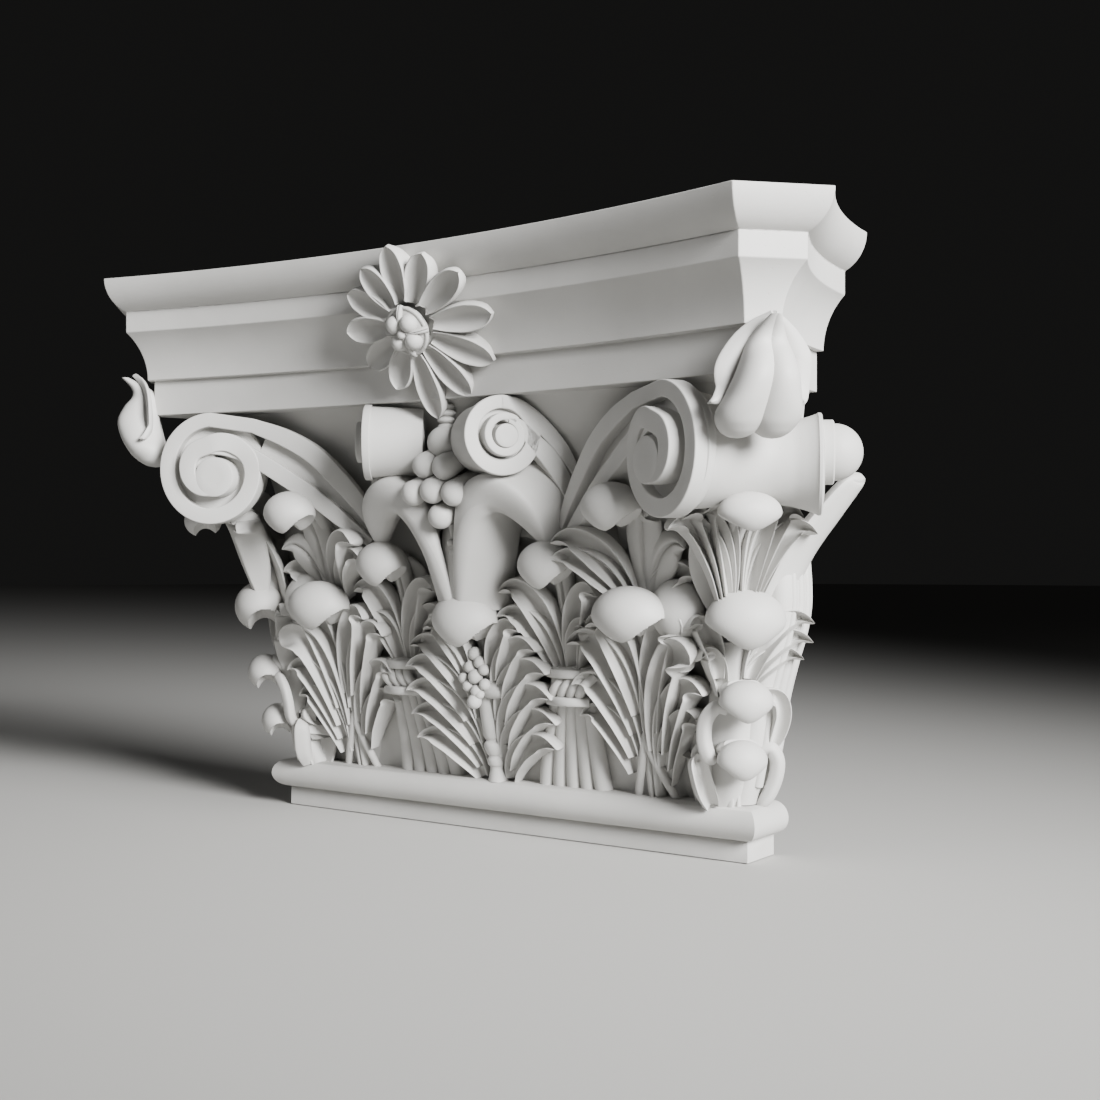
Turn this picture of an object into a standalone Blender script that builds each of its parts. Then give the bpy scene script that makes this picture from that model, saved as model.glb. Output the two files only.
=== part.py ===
"""Pilaster capital with corner volutes, acanthus leaves, a grape cluster and a rosette.

One cast piece. It is built into a wall: the wall plane is Y = 0, the front faces -Y, and the
object's origin is the middle of its flat back. Heights below are measured from the bottom bed.
"""
import math

import bmesh
import bpy
import numpy as np
from mathutils import Matrix

MM = 0.001

# Driving dimensions, in metres
NECK_WIDTH = 300.0 * MM          # width of the pilaster shaft that the capital crowns
NECK_DEPTH = 27.3 * MM           # how far the shaft stands out from the wall
FILLET_HEIGHT = 10.5 * MM        # plain fillet at the bottom bed
TORUS_RADIUS = 8.0 * MM          # half-round astragal above the fillet
BELL_HEIGHT = 197.9 * MM         # astragal top to abacus underside
BLOCK_HEIGHT = 19.3 * MM         # plain block under the cavetto
CAVETTO_HEIGHT = 25.9 * MM
FASCIA_HEIGHT = 11.2 * MM
OVOLO_HEIGHT = 17.3 * MM
SIDE_OVERHANG = 23.0 * MM        # abacus block beyond the shaft, at the wall
FRONT_OVERHANG = 50.4 * MM       # abacus block beyond the shaft, at the middle of the front
FRONT_CURVE = 861.6 * MM         # radius of the block's hollow front
SIDE_CURVE = 285.6 * MM          # radius of the block's hollow sides
HORN_LENGTH = 24.0 * MM          # cut corner of the block beyond the crossing of its faces
STEP_OUT = 3.5 * MM              # cavetto foot beyond the block
FASCIA_OUT = 14.5 * MM           # fascia beyond the block
OVOLO_OUT = 25.6 * MM            # top edge beyond the block
VOLUTE_RADIUS = 30.5 * MM
SIDE_SCROLL_RADIUS = 23.0 * MM   # the volute's smaller disc towards the side
SIDE_SCROLL_DROP = 6.0 * MM      # its centre below the front scroll's
HELIX_RADIUS = 19.9 * MM
ROSETTE_RADIUS = 40.0 * MM       # of a middling petal

# Heights and reaches that follow from them
TORUS_TOP = FILLET_HEIGHT + 2.0 * TORUS_RADIUS
ABACUS_FOOT = TORUS_TOP + BELL_HEIGHT
TOP_BED = ABACUS_FOOT + BLOCK_HEIGHT + CAVETTO_HEIGHT + FASCIA_HEIGHT + OVOLO_HEIGHT
MOUNT_HEIGHT = 0.5 * TOP_BED
HALF_NECK = 0.5 * NECK_WIDTH
BLOCK_HALF_WIDTH = HALF_NECK + SIDE_OVERHANG
BLOCK_DEPTH = NECK_DEPTH + FRONT_OVERHANG
SEAT = 0.4 * MM                  # how far one carved form runs into the next at least

# The carving is drawn in millimetres on a bell of this size and stretched with the real one
DRAWN_HALF_NECK = 150.0
DRAWN_FOOT = 26.5
DRAWN_HEIGHT = 197.9
DRAWN_DEPTH = 77.7

PLASTER = (0.78, 0.78, 0.77, 1.0)
UP = np.array((0.0, 0.0, 1.0))


def spot(x, y, z):
    """Point of the carving, from millimetres on the drawn bell to metres on this one."""
    return np.array((
        x * HALF_NECK / DRAWN_HALF_NECK,
        y * BLOCK_DEPTH / DRAWN_DEPTH,
        TORUS_TOP + (z - DRAWN_FOOT) * BELL_HEIGHT / DRAWN_HEIGHT,
    ))


def unit(vector):
    vector = np.asarray(vector, float)
    return vector / np.linalg.norm(vector)


def facing(azimuth):
    """Sideways and outward directions of a face turned by an azimuth from the front."""
    angle = math.radians(azimuth)
    side = np.array((math.cos(angle), math.sin(angle), 0.0))
    out = np.array((math.sin(angle), -math.cos(angle), 0.0))
    return side, out


def collection(name):
    made = bpy.data.collections.new(name)
    bpy.context.scene.collection.children.link(made)
    return made


# Solids from rings and primitives

def finish_form(builder, name):
    """Turn a bmesh into a guide object of triangles with its faces pointing out."""
    bmesh.ops.triangulate(builder, faces=builder.faces[:])
    bmesh.ops.recalc_face_normals(builder, faces=builder.faces[:])
    mesh = bpy.data.meshes.new(name)
    builder.to_mesh(mesh)
    builder.free()
    form = bpy.data.objects.new(name, mesh)
    form.hide_render = True
    form.display_type = "WIRE"
    return form


def loft(name, rings):
    """Closed solid through a row of rings that all have the same number of points."""
    builder = bmesh.new()
    rows = [[builder.verts.new(point) for point in ring] for ring in rings]
    count = len(rows[0])
    for low, high in zip(rows[:-1], rows[1:]):
        for k in range(count):
            after = (k + 1) % count
            builder.faces.new((low[k], low[after], high[after], high[k]))
    for row in (rows[0], rows[-1]):
        builder.faces.new(row)
    return finish_form(builder, name)


def ball(name, centre, radii, out=(0.0, -1.0, 0.0), segments=10, rings=7):
    """Ellipsoid with its radii given sideways, outwards and up."""
    builder = bmesh.new()
    bmesh.ops.create_uvsphere(builder, u_segments=segments, v_segments=rings, radius=1.0)
    out = unit(out)
    side = np.cross(UP, out)
    turn = Matrix(np.column_stack((side * radii[0], out * radii[1], UP * radii[2])).tolist())
    turn = turn.to_4x4()
    turn.translation = centre
    bmesh.ops.transform(builder, matrix=turn, verts=builder.verts[:])
    return finish_form(builder, name)


def rod(name, start, end, start_radius, end_radius, segments=8):
    """Round bar between two points, which may taper."""
    builder = bmesh.new()
    length = float(np.linalg.norm(end - start))
    bmesh.ops.create_cone(builder, cap_ends=True, segments=segments,
                          radius1=start_radius, radius2=end_radius, depth=length)
    axis = unit(end - start)
    side = unit(np.cross(axis, (0.3, 0.9, 0.1)))
    turn = Matrix(np.column_stack((side, np.cross(axis, side), axis)).tolist()).to_4x4()
    turn.translation = 0.5 * (start + end)
    bmesh.ops.transform(builder, matrix=turn, verts=builder.verts[:])
    return finish_form(builder, name)


def bezier(controls, count):
    """Points along a cubic curve through four control points."""
    t = np.linspace(0.0, 1.0, count)[:, None]
    s = 1.0 - t
    p0, p1, p2, p3 = (np.asarray(point, float) for point in controls)
    return s ** 3 * p0 + 3.0 * s * s * t * p1 + 3.0 * s * t * t * p2 + t ** 3 * p3


def sweep(name, path, section, widths, depths, out=None, side=None):
    """Carry a section along a path, held square to an outward or a sideways direction."""
    rings = []
    tangents = np.gradient(path, axis=0)
    for point, tangent, width, depth in zip(path, tangents, widths, depths):
        across = unit(np.cross(tangent, out)) if side is None else unit(side)
        normal = unit(np.cross(across, tangent))
        rings.append([point + across * width * q + normal * depth * d for q, d in section])
    return loft(name, rings)


# Abacus, astragal and bell

def plan_ring(offset, front_steps=12, side_steps=4):
    """Outline of the abacus at a distance out from its block, seen from above."""
    side_middle = 23.0 * MM
    front_centre = np.array((0.0, -BLOCK_DEPTH - FRONT_CURVE))
    side_centre = np.array((
        BLOCK_HALF_WIDTH + math.sqrt(SIDE_CURVE ** 2 - side_middle ** 2), side_middle))
    front_radius = FRONT_CURVE - offset
    side_radius = SIDE_CURVE - offset
    normal = unit((32.2, -30.3))
    along = np.array((-normal[1], normal[0]))
    level = normal @ np.array((BLOCK_HALF_WIDTH, -BLOCK_DEPTH)) + HORN_LENGTH + offset
    near = level - normal @ front_centre
    far = level - normal @ side_centre
    front_corner = front_centre + normal * near + along * math.sqrt(front_radius ** 2 - near ** 2)
    side_corner = side_centre + normal * far - along * math.sqrt(side_radius ** 2 - far ** 2)
    half = []
    for step in range(side_steps + 1):
        y = side_corner[1] * step / side_steps
        half.append((side_centre[0] - math.sqrt(side_radius ** 2 - (y - side_middle) ** 2), y))
    half_steps = front_steps // 2
    for step in range(half_steps, 0, -1):
        x = front_corner[0] * step / half_steps
        half.append((x, front_centre[1] + math.sqrt(front_radius ** 2 - x ** 2)))
    middle = [(0.0, front_centre[1] + front_radius)]
    return half + middle + [(-x, y) for x, y in reversed(half)]


def abacus_levels(ovolo_steps=4, cavetto_steps=5):
    """Offsets and heights of the abacus mouldings, from the underside to the top bed."""
    cavetto_foot = ABACUS_FOOT + BLOCK_HEIGHT
    fascia_foot = cavetto_foot + CAVETTO_HEIGHT
    ovolo_foot = fascia_foot + FASCIA_HEIGHT
    levels = [(0.0, ABACUS_FOOT), (0.0, cavetto_foot)]
    for step in range(cavetto_steps + 1):
        turn = math.radians(48.0) * step / cavetto_steps
        reach = (1.0 - math.cos(turn)) / (1.0 - math.cos(math.radians(48.0)))
        rise = math.sin(turn) / math.sin(math.radians(48.0))
        levels.append((STEP_OUT + (FASCIA_OUT - STEP_OUT) * reach,
                       cavetto_foot + CAVETTO_HEIGHT * rise))
    levels.append((FASCIA_OUT, ovolo_foot))
    for step in range(1, ovolo_steps + 1):
        turn = math.radians(66.0) * (1.0 - step / ovolo_steps)
        reach = (math.cos(turn) - math.cos(math.radians(66.0))) / (1.0 - math.cos(math.radians(66.0)))
        rise = 1.0 - math.sin(turn) / math.sin(math.radians(66.0))
        levels.append((FASCIA_OUT + (OVOLO_OUT - FASCIA_OUT) * reach,
                       ovolo_foot + OVOLO_HEIGHT * rise))
    return levels


def make_abacus():
    rings = [[(x, y, height) for x, y in plan_ring(offset)] for offset, height in abacus_levels()]
    return loft("abacus", rings)


def make_astragal(steps=8):
    """Fillet and half-round that run along the front and return to the wall."""
    levels = [(0.0, 0.0), (0.0, FILLET_HEIGHT)]
    for step in range(1, steps):
        turn = math.pi * step / steps
        levels.append((TORUS_RADIUS * math.sin(turn),
                       FILLET_HEIGHT + TORUS_RADIUS * (1.0 - math.cos(turn))))
    levels.append((0.0, TORUS_TOP))
    rings = []
    for offset, height in levels:
        x = HALF_NECK + offset
        y = -NECK_DEPTH - offset
        rings.append([(x, 0.0, height), (x, y, height), (-x, y, height), (-x, 0.0, height)])
    return loft("astragal", rings)


def bell_depth(z):
    """How far the bell's front stands out at a drawn height: a swelling, then a flare."""
    share = (z - DRAWN_FOOT) / DRAWN_HEIGHT
    return 19.0 + 13.0 * math.sin(math.pi * min(share / 0.9, 1.0)) + 49.0 * share ** 4.0


def make_bell(levels=11):
    """Core behind the leaves: a box with cut corners that swells and then flares."""
    rings = []
    sink = SEAT / MM
    for step in range(levels):
        z = DRAWN_FOOT - sink + (DRAWN_HEIGHT + 2.0 * sink) * step / (levels - 1)
        share = (z - DRAWN_FOOT) / DRAWN_HEIGHT
        depth = bell_depth(z)
        half = 147.0 + 20.0 * share
        cut = 15.0 + 12.0 * share
        outline = [(half, 0.0), (half, cut - depth), (half - cut, -depth)]
        outline += [(-x, y) for x, y in reversed(outline)]
        rings.append([spot(x, y, z) for x, y in outline])
    return loft("bell", rings)


def make_pocket():
    """Deep undercut behind the calyx, seen as two dark openings beside its stem."""
    return ball("calyx_pocket", spot(0.0, -36.0, 146.0), spot_size(40.0, 24.0, 11.0), segments=16)


def spot_size(x, y, z):
    """Extents of a carved form, stretched like its place."""
    return (x * HALF_NECK / DRAWN_HALF_NECK, y * BLOCK_DEPTH / DRAWN_DEPTH,
            z * BELL_HEIGHT / DRAWN_HEIGHT)


# Volutes and helices

# Stalks of the scrolls in radii of the scroll: u away from the capital's middle, v up
VOLUTE_STALK = ((-3.1, -1.44), (-2.79, -0.5), (-1.38, 0.8), (0.0, 0.86))
VOLUTE_LOWER = ((-2.88, -1.5), (-2.3, -0.79), (-1.15, 0.1), (0.0, 0.4))
HELIX_STALK = ((-2.11, -1.5), (-1.81, -0.4), (-0.9, 0.7), (0.0, 0.86))
HELIX_LOWER = ((-1.86, -1.9), (-1.5, -1.0), (-0.9, 0.0), (0.0, 0.4))
BAND = 0.14                      # half width of the flat bands, in radii
HOLLOW = -0.16                   # floor between the bands, behind the face
BACK = -0.62                     # back of the stalk
COIL_LIFT = 0.17                 # how far the coil and the eye stand out of the face
TURN_STEP = 30                   # degrees between two points of the spiral
SPOOL_SIDES = 16


def spiral(stalk):
    """Middle line of the band, its half widths and its lifts: stalk, one turn, inner coil."""
    points = list(bezier(stalk, 7)[:-1])
    widths = [0.13, 0.15, 0.17, 0.17, 0.16, 0.15]
    lifts = [0.02] * len(points)
    for degrees in range(0, 421, TURN_STEP):
        inward = min(max((degrees - 240.0) / 120.0, 0.0), 1.0)
        reach = (1.0 - BAND) - 0.46 * inward
        turn = math.radians(degrees)
        points.append(np.array((reach * math.sin(turn), reach * math.cos(turn))))
        widths.append(BAND)
        lifts.append(0.02 + (COIL_LIFT - 0.02) * inward)
    return np.array(points), widths, lifts


def strip(name, place, spine, widths, lifts, backs):
    """Flat band along a line in the scroll's plane, from a back depth to a lift."""
    rings = []
    for (u, v), (du, dv), width, lift, back in zip(
            spine, np.gradient(spine, axis=0), widths, lifts, backs):
        across = np.array((-dv, du)) / math.hypot(du, dv) * width
        rings.append([place(u - across[0], v - across[1], back),
                      place(u - across[0], v - across[1], lift),
                      place(u + across[0], v + across[1], lift),
                      place(u + across[0], v + across[1], back)])
    return loft(name, rings)


def spool(name, front, out, back, back_out, radius, profile):
    """Drum between two upright discs that need not be parallel, waisted in the middle."""
    handle = 0.45 * float(np.linalg.norm(back - front))
    line = bezier((front, front - out * handle, back - back_out * handle, back), 101)
    rings = []
    for share, size in profile:
        facing_out = unit((1.0 - share) * out - share * back_out)
        across = unit(np.cross(facing_out, UP))
        middle = line[int(round(100 * share))]
        turns = [2.0 * math.pi * k / SPOOL_SIDES for k in range(SPOOL_SIDES)]
        rings.append([middle + (across * math.cos(t) + UP * math.sin(t)) * radius * size
                      for t in turns])
    return loft(name, rings)


def scroll(name, centre, azimuth, away, radius, stalk, lower):
    """Spiral face: outer band, coil, eye and the two bands of its stalk."""
    side, out = facing(azimuth)

    def place(u, v, lift=0.0):
        return centre + (side * away * u + UP * v + out * lift) * radius

    spine, widths, lifts = spiral(stalk)
    forms = [strip(name + "_band", place, spine, widths, lifts, [HOLLOW - 0.12] * len(lifts))]
    low = bezier(lower, 6)
    forms.append(strip(name + "_lower_band", place, low, [BAND] * 6, [0.015] * 6, [BACK] * 6))
    middle = 0.5 * (bezier(stalk, 6) + low)
    forms.append(strip(name + "_hollow", place, middle, [0.2, 0.22, 0.24, 0.26, 0.26, 0.22],
                       [HOLLOW] * 6, [BACK] * 6))
    eye = (-0.1, -0.16)
    forms.append(rod(name + "_eye", place(*eye, HOLLOW - 0.12), place(*eye, COIL_LIFT + 0.01),
                     0.36 * radius, 0.36 * radius, 12))
    return forms, out


def make_volutes(mirror):
    """Corner volute with a face to the front and one to the side, and the inner helix."""
    name = "left" if mirror < 0 else "right"
    front = spot(143.3 * mirror, -96.9, 0.0)
    flank = spot(197.0 * mirror, -44.0, 0.0)
    front[2] = ABACUS_FOOT + SEAT - VOLUTE_RADIUS
    flank[2] = front[2] - SIDE_SCROLL_DROP
    flank_out = facing(117.0 * mirror)[1]
    forms, front_out = scroll(name + "_volute", front, -27.0 * mirror, mirror, VOLUTE_RADIUS,
                              VOLUTE_STALK, VOLUTE_LOWER)
    small = SIDE_SCROLL_RADIUS / VOLUTE_RADIUS
    waist = ((0.0, 0.92), (0.3, 0.5 * (0.88 + 0.9 * small)), (0.7, 0.88 * small), (0.86, 0.9 * small),
             (0.93, small), (1.0, small))
    forms.append(spool(name + "_bolster", front + front_out * HOLLOW * VOLUTE_RADIUS, front_out,
                       flank, flank_out, VOLUTE_RADIUS, waist))
    coil = 0.62 * SIDE_SCROLL_RADIUS
    eye = flank + UP * 0.2 * SIDE_SCROLL_RADIUS
    forms.append(rod(name + "_side_coil", eye - flank_out * 4.0 * MM, eye + flank_out * 4.0 * MM,
                     coil, coil, 12))
    forms.append(ball(name + "_side_eye", eye + flank_out * 4.5 * MM, [0.88 * coil] * 3, flank_out))
    face = spot(44.6 * mirror, -79.8, 0.0)
    face[2] = ABACUS_FOOT + SEAT - HELIX_RADIUS
    helix, helix_out = scroll(name + "_helix", face, 55.0 * mirror, -mirror, HELIX_RADIUS,
                              HELIX_STALK, HELIX_LOWER)
    back = face - helix_out * 31.0 * MM
    forms += helix
    forms.append(spool(name + "_helix_drum", face + helix_out * HOLLOW * HELIX_RADIUS, helix_out,
                       back, -helix_out, HELIX_RADIUS, ((0.0, 0.93), (1.0, 0.86))))
    return forms


# Leaves

LOBE = ((-1.0, -1.0), (-0.85, 0.75), (-0.1, 0.1), (0.1, 0.1), (0.85, 0.75), (1.0, -1.0))
BLADE = ((-1.0, -0.9), (-1.0, 0.3), (-0.25, 0.9), (0.0, 0.35), (0.25, 0.9), (1.0, 0.3), (1.0, -0.9))


def lobe(name, leaf, sign, root, tip, width, roll):
    """Finger of a leaf: rises from the midrib, arches over and rolls its tip outwards."""
    side, out = leaf["side"], leaf["out"]

    def place(across, height, depth):
        return leaf["base"] + (side * sign * across + UP * height + out * depth) * MM

    reach = tip[0] - root[0]
    lift = tip[1] - root[1]
    path = bezier((place(*root),
                   place(root[0] + 0.12 * reach, root[1] + 0.62 * lift, root[2] + 1.0),
                   place(root[0] + 0.45 * reach, tip[1] + 0.16 * lift, tip[2] - 1.0),
                   place(tip[0], tip[1], tip[2] + roll)), 7)
    widths = np.array((0.45, 0.8, 1.0, 1.05, 1.0, 0.8, 0.3)) * width * MM
    depths = np.array((0.7, 1.0, 1.1, 1.1, 1.0, 0.8, 0.4)) * 3.6 * MM
    return sweep(name, path, LOBE, widths, depths, out=out)


def spread(low, high, count):
    """Evenly stepped triples between a low and a high one."""
    return [tuple(np.array(low) + (np.array(high) - low) * k / max(count - 1, 1))
            for k in range(count)]


def leaf(name, base, tip, azimuth, ball_radii, blade_width, sides):
    """Leaf that climbs the bell and curls over into a smooth round tip.

    Each entry of sides is a rule for one row of lobes: the side's sign, how many, the first
    and last root and tip as (across, up, outward) millimetres from the base, and the width.
    """
    side, out = facing(azimuth)
    frame = {"base": base, "side": side, "out": out}
    offset = tip - base
    rise = offset @ UP
    radius_out, radius_up = ball_radii[1] * MM, ball_radii[2] * MM
    forms = [ball(name + "_tip", tip, [radius * MM for radius in ball_radii], out)]
    path = bezier((base - UP * 3.0 * SEAT, base + offset * (0.0, 0.0, 1.0) * 0.6,
                   tip - out * (out @ offset) * 0.55 + UP * 0.9 * radius_up,
                   tip - out * 0.25 * radius_out + UP * 0.45 * radius_up), 8)
    widths = np.array((0.8, 0.85, 0.9, 1.0, 1.05, 1.1, 1.1, 0.9)) * 0.5 * blade_width * MM
    forms.append(sweep(name + "_blade", path, BLADE, widths, [4.0 * MM] * 8, side=side))
    for number, (sign, count, roots, tips, width) in enumerate(sides):
        rows = zip(spread(*roots, count), spread(*tips, count))
        for k, (root, end) in enumerate(rows):
            forms.append(lobe(f"{name}_lobe_{number}_{k}", frame, sign, root, end, width, 4.0))
    return forms


def make_centre_leaf():
    rows = [(sign, 6, ((7.0, 4.0, -1.0), (12.0, 52.0, 15.0)), ((44.0, 26.0, 6.0), (34.0, 80.0, 22.0)),
             5.6) for sign in (-1, 1)]
    return leaf("centre_leaf", spot(0.0, -21.0, 27.0), spot(0.0, -53.1, 112.8), 0.0,
                (18.4, 15.0, 13.5), 16.0, rows)


def make_side_leaves(mirror):
    """Leaves of one half of the front: the large one, the one over the reeds, the upper one."""
    name = "left" if mirror < 0 else "right"
    forms = []
    outer = (mirror, 4, ((9.0, 16.0, 5.0), (6.0, 38.0, 12.0)), ((35.0, 41.0, 13.0), (36.0, 86.0, 25.0)),
             6.0)
    inner = (-mirror, 4, ((8.0, 16.0, 5.0), (5.0, 44.0, 13.0)),
             ((35.0, 40.0, 11.0), (38.0, 84.0, 24.0)), 6.0)
    forms += leaf(name + "_large_leaf", spot(97.0 * mirror, -21.5, 27.0),
                  spot(101.2 * mirror, -55.4, 117.5), 0.0, (16.0, 14.0, 12.0), 18.0, [outer, inner])
    outer = (mirror, 1, ((4.0, 12.0, 3.0), (4.0, 12.0, 3.0)), ((17.0, 48.0, 9.0), (17.0, 48.0, 9.0)),
             6.0)
    inner = (-mirror, 2, ((4.0, 8.0, 3.0), (4.0, 22.0, 5.0)), ((18.0, 30.0, 6.0), (19.0, 46.0, 10.0)),
             5.5)
    forms += leaf(name + "_reed_leaf", spot(53.0 * mirror, -33.0, 82.0),
                  spot(53.6 * mirror, -57.2, 140.8), 0.0, (12.0, 11.0, 11.0), 14.0, [outer, inner])
    outer = (mirror, 3, ((6.0, 0.0, 2.0), (4.0, 14.0, 6.0)), ((38.0, 14.0, 10.0), (14.0, 36.0, 14.0)),
             6.5)
    inner = (-mirror, 2, ((6.0, 2.0, 4.0), (4.0, 10.0, 8.0)), ((36.0, 18.0, 24.0), (38.0, 28.0, 28.0)),
             5.5)
    forms += leaf(name + "_upper_leaf", spot(100.0 * mirror, -38.0, 127.0),
                  spot(104.0 * mirror, -75.2, 168.5), 0.0, (13.0, 13.0, 11.0), 16.0, [outer, inner])
    return forms


def make_corner_leaves(mirror):
    """Stack of four curled leaves up the bell's corner, the upper two with most lobes."""
    name = "left" if mirror < 0 else "right"
    azimuth = 43.0 * mirror
    curls = [(-mirror, 1, ((7.0, 2.0, -5.0),) * 2, ((18.0, 25.0, -7.0),) * 2, 7.0),
             (mirror, 1, ((8.0, 2.0, 2.0),) * 2, ((21.0, 27.0, 7.0),) * 2, 5.0)]
    forms = leaf(name + "_corner_leaf_1", spot(142.0 * mirror, -26.0, 27.0),
                 spot(151.8 * mirror, -36.1, 49.7), azimuth, (11.0, 9.0, 9.0), 22.0, curls)
    curls = [(-mirror, 1, ((6.0, 14.0, 3.0),) * 2, ((17.0, 34.0, 2.0),) * 2, 5.5),
             (mirror, 1, ((4.0, 14.0, 4.0),) * 2, ((25.0, 34.0, 11.0),) * 2, 6.0)]
    forms += leaf(name + "_corner_leaf_2", spot(142.0 * mirror, -28.0, 46.0),
                  spot(156.7 * mirror, -41.6, 77.9), azimuth, (11.5, 9.5, 9.5), 22.0, curls)
    fan = [(-mirror, 2, ((9.0, 8.0, 2.0), (10.0, 14.0, 3.0)), ((20.0, 26.0, 4.0), (25.0, 40.0, 4.0)), 5.5),
           (mirror, 3, ((2.0, 6.0, 3.0), (3.0, 14.0, 6.0)), ((30.0, 25.0, 5.0), (34.0, 42.0, 8.0)), 5.5)]
    forms += leaf(name + "_corner_leaf_3", spot(146.0 * mirror, -30.0, 74.0),
                  spot(157.8 * mirror, -44.0, 116.0), azimuth, (18.0, 14.0, 13.5), 22.0, fan)
    fan = [(sign, 3, ((5.0, 2.0, 6.0), (5.0, 8.0, 9.0)), ((35.0, 36.0, 14.0), (19.0, 45.0, 21.0)), 6.0)
           for sign in (-1, 1)]
    forms += leaf(name + "_corner_leaf_4", spot(149.0 * mirror, -42.0, 122.0),
                  spot(175.0 * mirror, -72.8, 165.2), azimuth, (13.0, 10.0, 8.5), 18.0, fan)
    forms.append(ball(name + "_corner_swelling", spot(121.5 * mirror, -42.0, 120.0),
                      spot_size(14.0, 10.0, 15.0), segments=8))
    return forms


# Silhouette of the side leaf against the wall, as (x, z) on the drawn bell
SIDE_LEAF = ((149.6, 30.0), (155.0, 52.0), (159.0, 76.0), (164.0, 95.0), (168.0, 108.0), (169.0, 123.0),
             (169.5, 140.0), (168.0, 155.0))
SIDE_LEAF_DEPTH = 27.0           # millimetres out from the wall on the drawn bell


def make_side_leaf(mirror):
    """Leaf that runs on round the shaft and is cut by the wall, with a slanting spray above."""
    name = "left" if mirror < 0 else "right"
    inside = 140.0
    rings = []
    for x, z in SIDE_LEAF:
        outline = ((inside, 0.0), (x, 0.0), (x, 6.0 - SIDE_LEAF_DEPTH), (x - 6.0, -SIDE_LEAF_DEPTH),
                   (inside, -SIDE_LEAF_DEPTH))
        rings.append([spot(px * mirror, y, z) for px, y in outline])
    stations = ((158.0, 126.0, 13.5, 5.5), (171.0, 148.0, 12.5, 5.0), (184.0, 166.0, 10.0, 4.2),
                (193.0, 177.0, 8.0, 3.6), (199.0, 182.5, 6.0, 2.5))
    path = np.array([spot(x * mirror, -half - 0.5, z) for x, z, half, thick in stations])
    widths = [half * MM for x, z, half, thick in stations]
    depths = [thick * MM for x, z, half, thick in stations]
    section = ((-1.0, -0.6), (-1.0, 0.3), (-0.4, 1.0), (0.4, 1.0), (1.0, 0.3), (1.0, -0.6))
    spray = sweep(name + "_side_spray", path, section, widths, depths, side=(0.0, mirror, 0.0))
    return [loft(name + "_side_leaf", rings), spray]


# Reeds, calyx, grapes, rosette and tongues

def make_reeds(mirror):
    """Sheaf of five reeds, tied by two flat bands with a twisted cord between them."""
    name = "left" if mirror < 0 else "right"
    forms = []
    for k in range(5):
        foot = spot((29.6 + 8.7 * k) * mirror, -20.0, 26.0)
        head = spot((46.5 + 4.2 * k) * mirror, -35.5, 90.0)
        forms.append(rod(f"{name}_reed_{k}", foot, head, 4.8 * MM, 3.6 * MM))
    for k, (low, high) in enumerate(((70.5, 74.0), (84.0, 88.5))):
        path = np.array([spot((43.5 + 5.6 * step) * mirror, -34.5, 0.5 * (low + high))
                         for step in range(5)])
        section = [(-1.0, -1.0), (-1.0, 1.0), (1.0, 1.0), (1.0, -1.0)]
        forms.append(sweep(f"{name}_tie_{k}", path, section, [0.5 * (high - low) * MM] * 5,
                           np.array((3.0, 6.0, 7.0, 6.0, 3.0)) * MM, out=np.array((0.0, -1.0, 0.0))))
    for k in range(3):
        start = spot((45.0 + 6.0 * k) * mirror, -38.5, 74.0)
        end = spot((53.0 + 6.0 * k) * mirror, -38.5, 84.5)
        forms.append(rod(f"{name}_cord_{k}", start, end, 2.6 * MM, 2.6 * MM, 6))
    return forms


# Section of the calyx lips: q across from the front rim to the back edge, d outward
CALYX = ((-1.0, -0.3), (-0.98, 0.3), (-0.5, 1.0), (0.2, 1.25), (1.0, 0.2), (1.0, -0.8), (0.2, 0.1),
         (-0.6, -0.15))


def make_calyx(mirror):
    """One lip of the open flower: climbs from the centre leaf's tip, rolls over and hangs."""
    name = "left" if mirror < 0 else "right"
    front_rim = bezier((spot(1.0 * mirror, -61.4, 119.0), spot(8.9 * mirror, -79.5, 175.0),
                        spot(36.4 * mirror, -88.2, 188.9), spot(53.6 * mirror, -55.2, 147.2)), 11)
    back_edge = bezier((spot(19.0 * mirror, -36.0, 119.0), spot(17.0 * mirror, -36.0, 182.0),
                        spot(43.0 * mirror, -37.0, 231.0), spot(63.0 * mirror, -45.0, 151.0)), 11)
    middle = 0.5 * (front_rim + back_edge)
    bulge = np.array((8.0, 7.5, 7.0, 6.0, 5.0, 5.0, 5.0, 4.5, 4.0, 3.5, 2.5)) * MM
    rings = []
    for low, high, centre, tangent, depth in zip(
            front_rim, back_edge, middle, np.gradient(middle, axis=0), bulge):
        out = unit(np.cross(high - low, tangent)) * mirror
        rings.append([centre + 0.5 * (high - low) * q + out * depth * d for q, d in CALYX])
    return [loft(name + "_calyx_lip", rings)]


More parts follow.
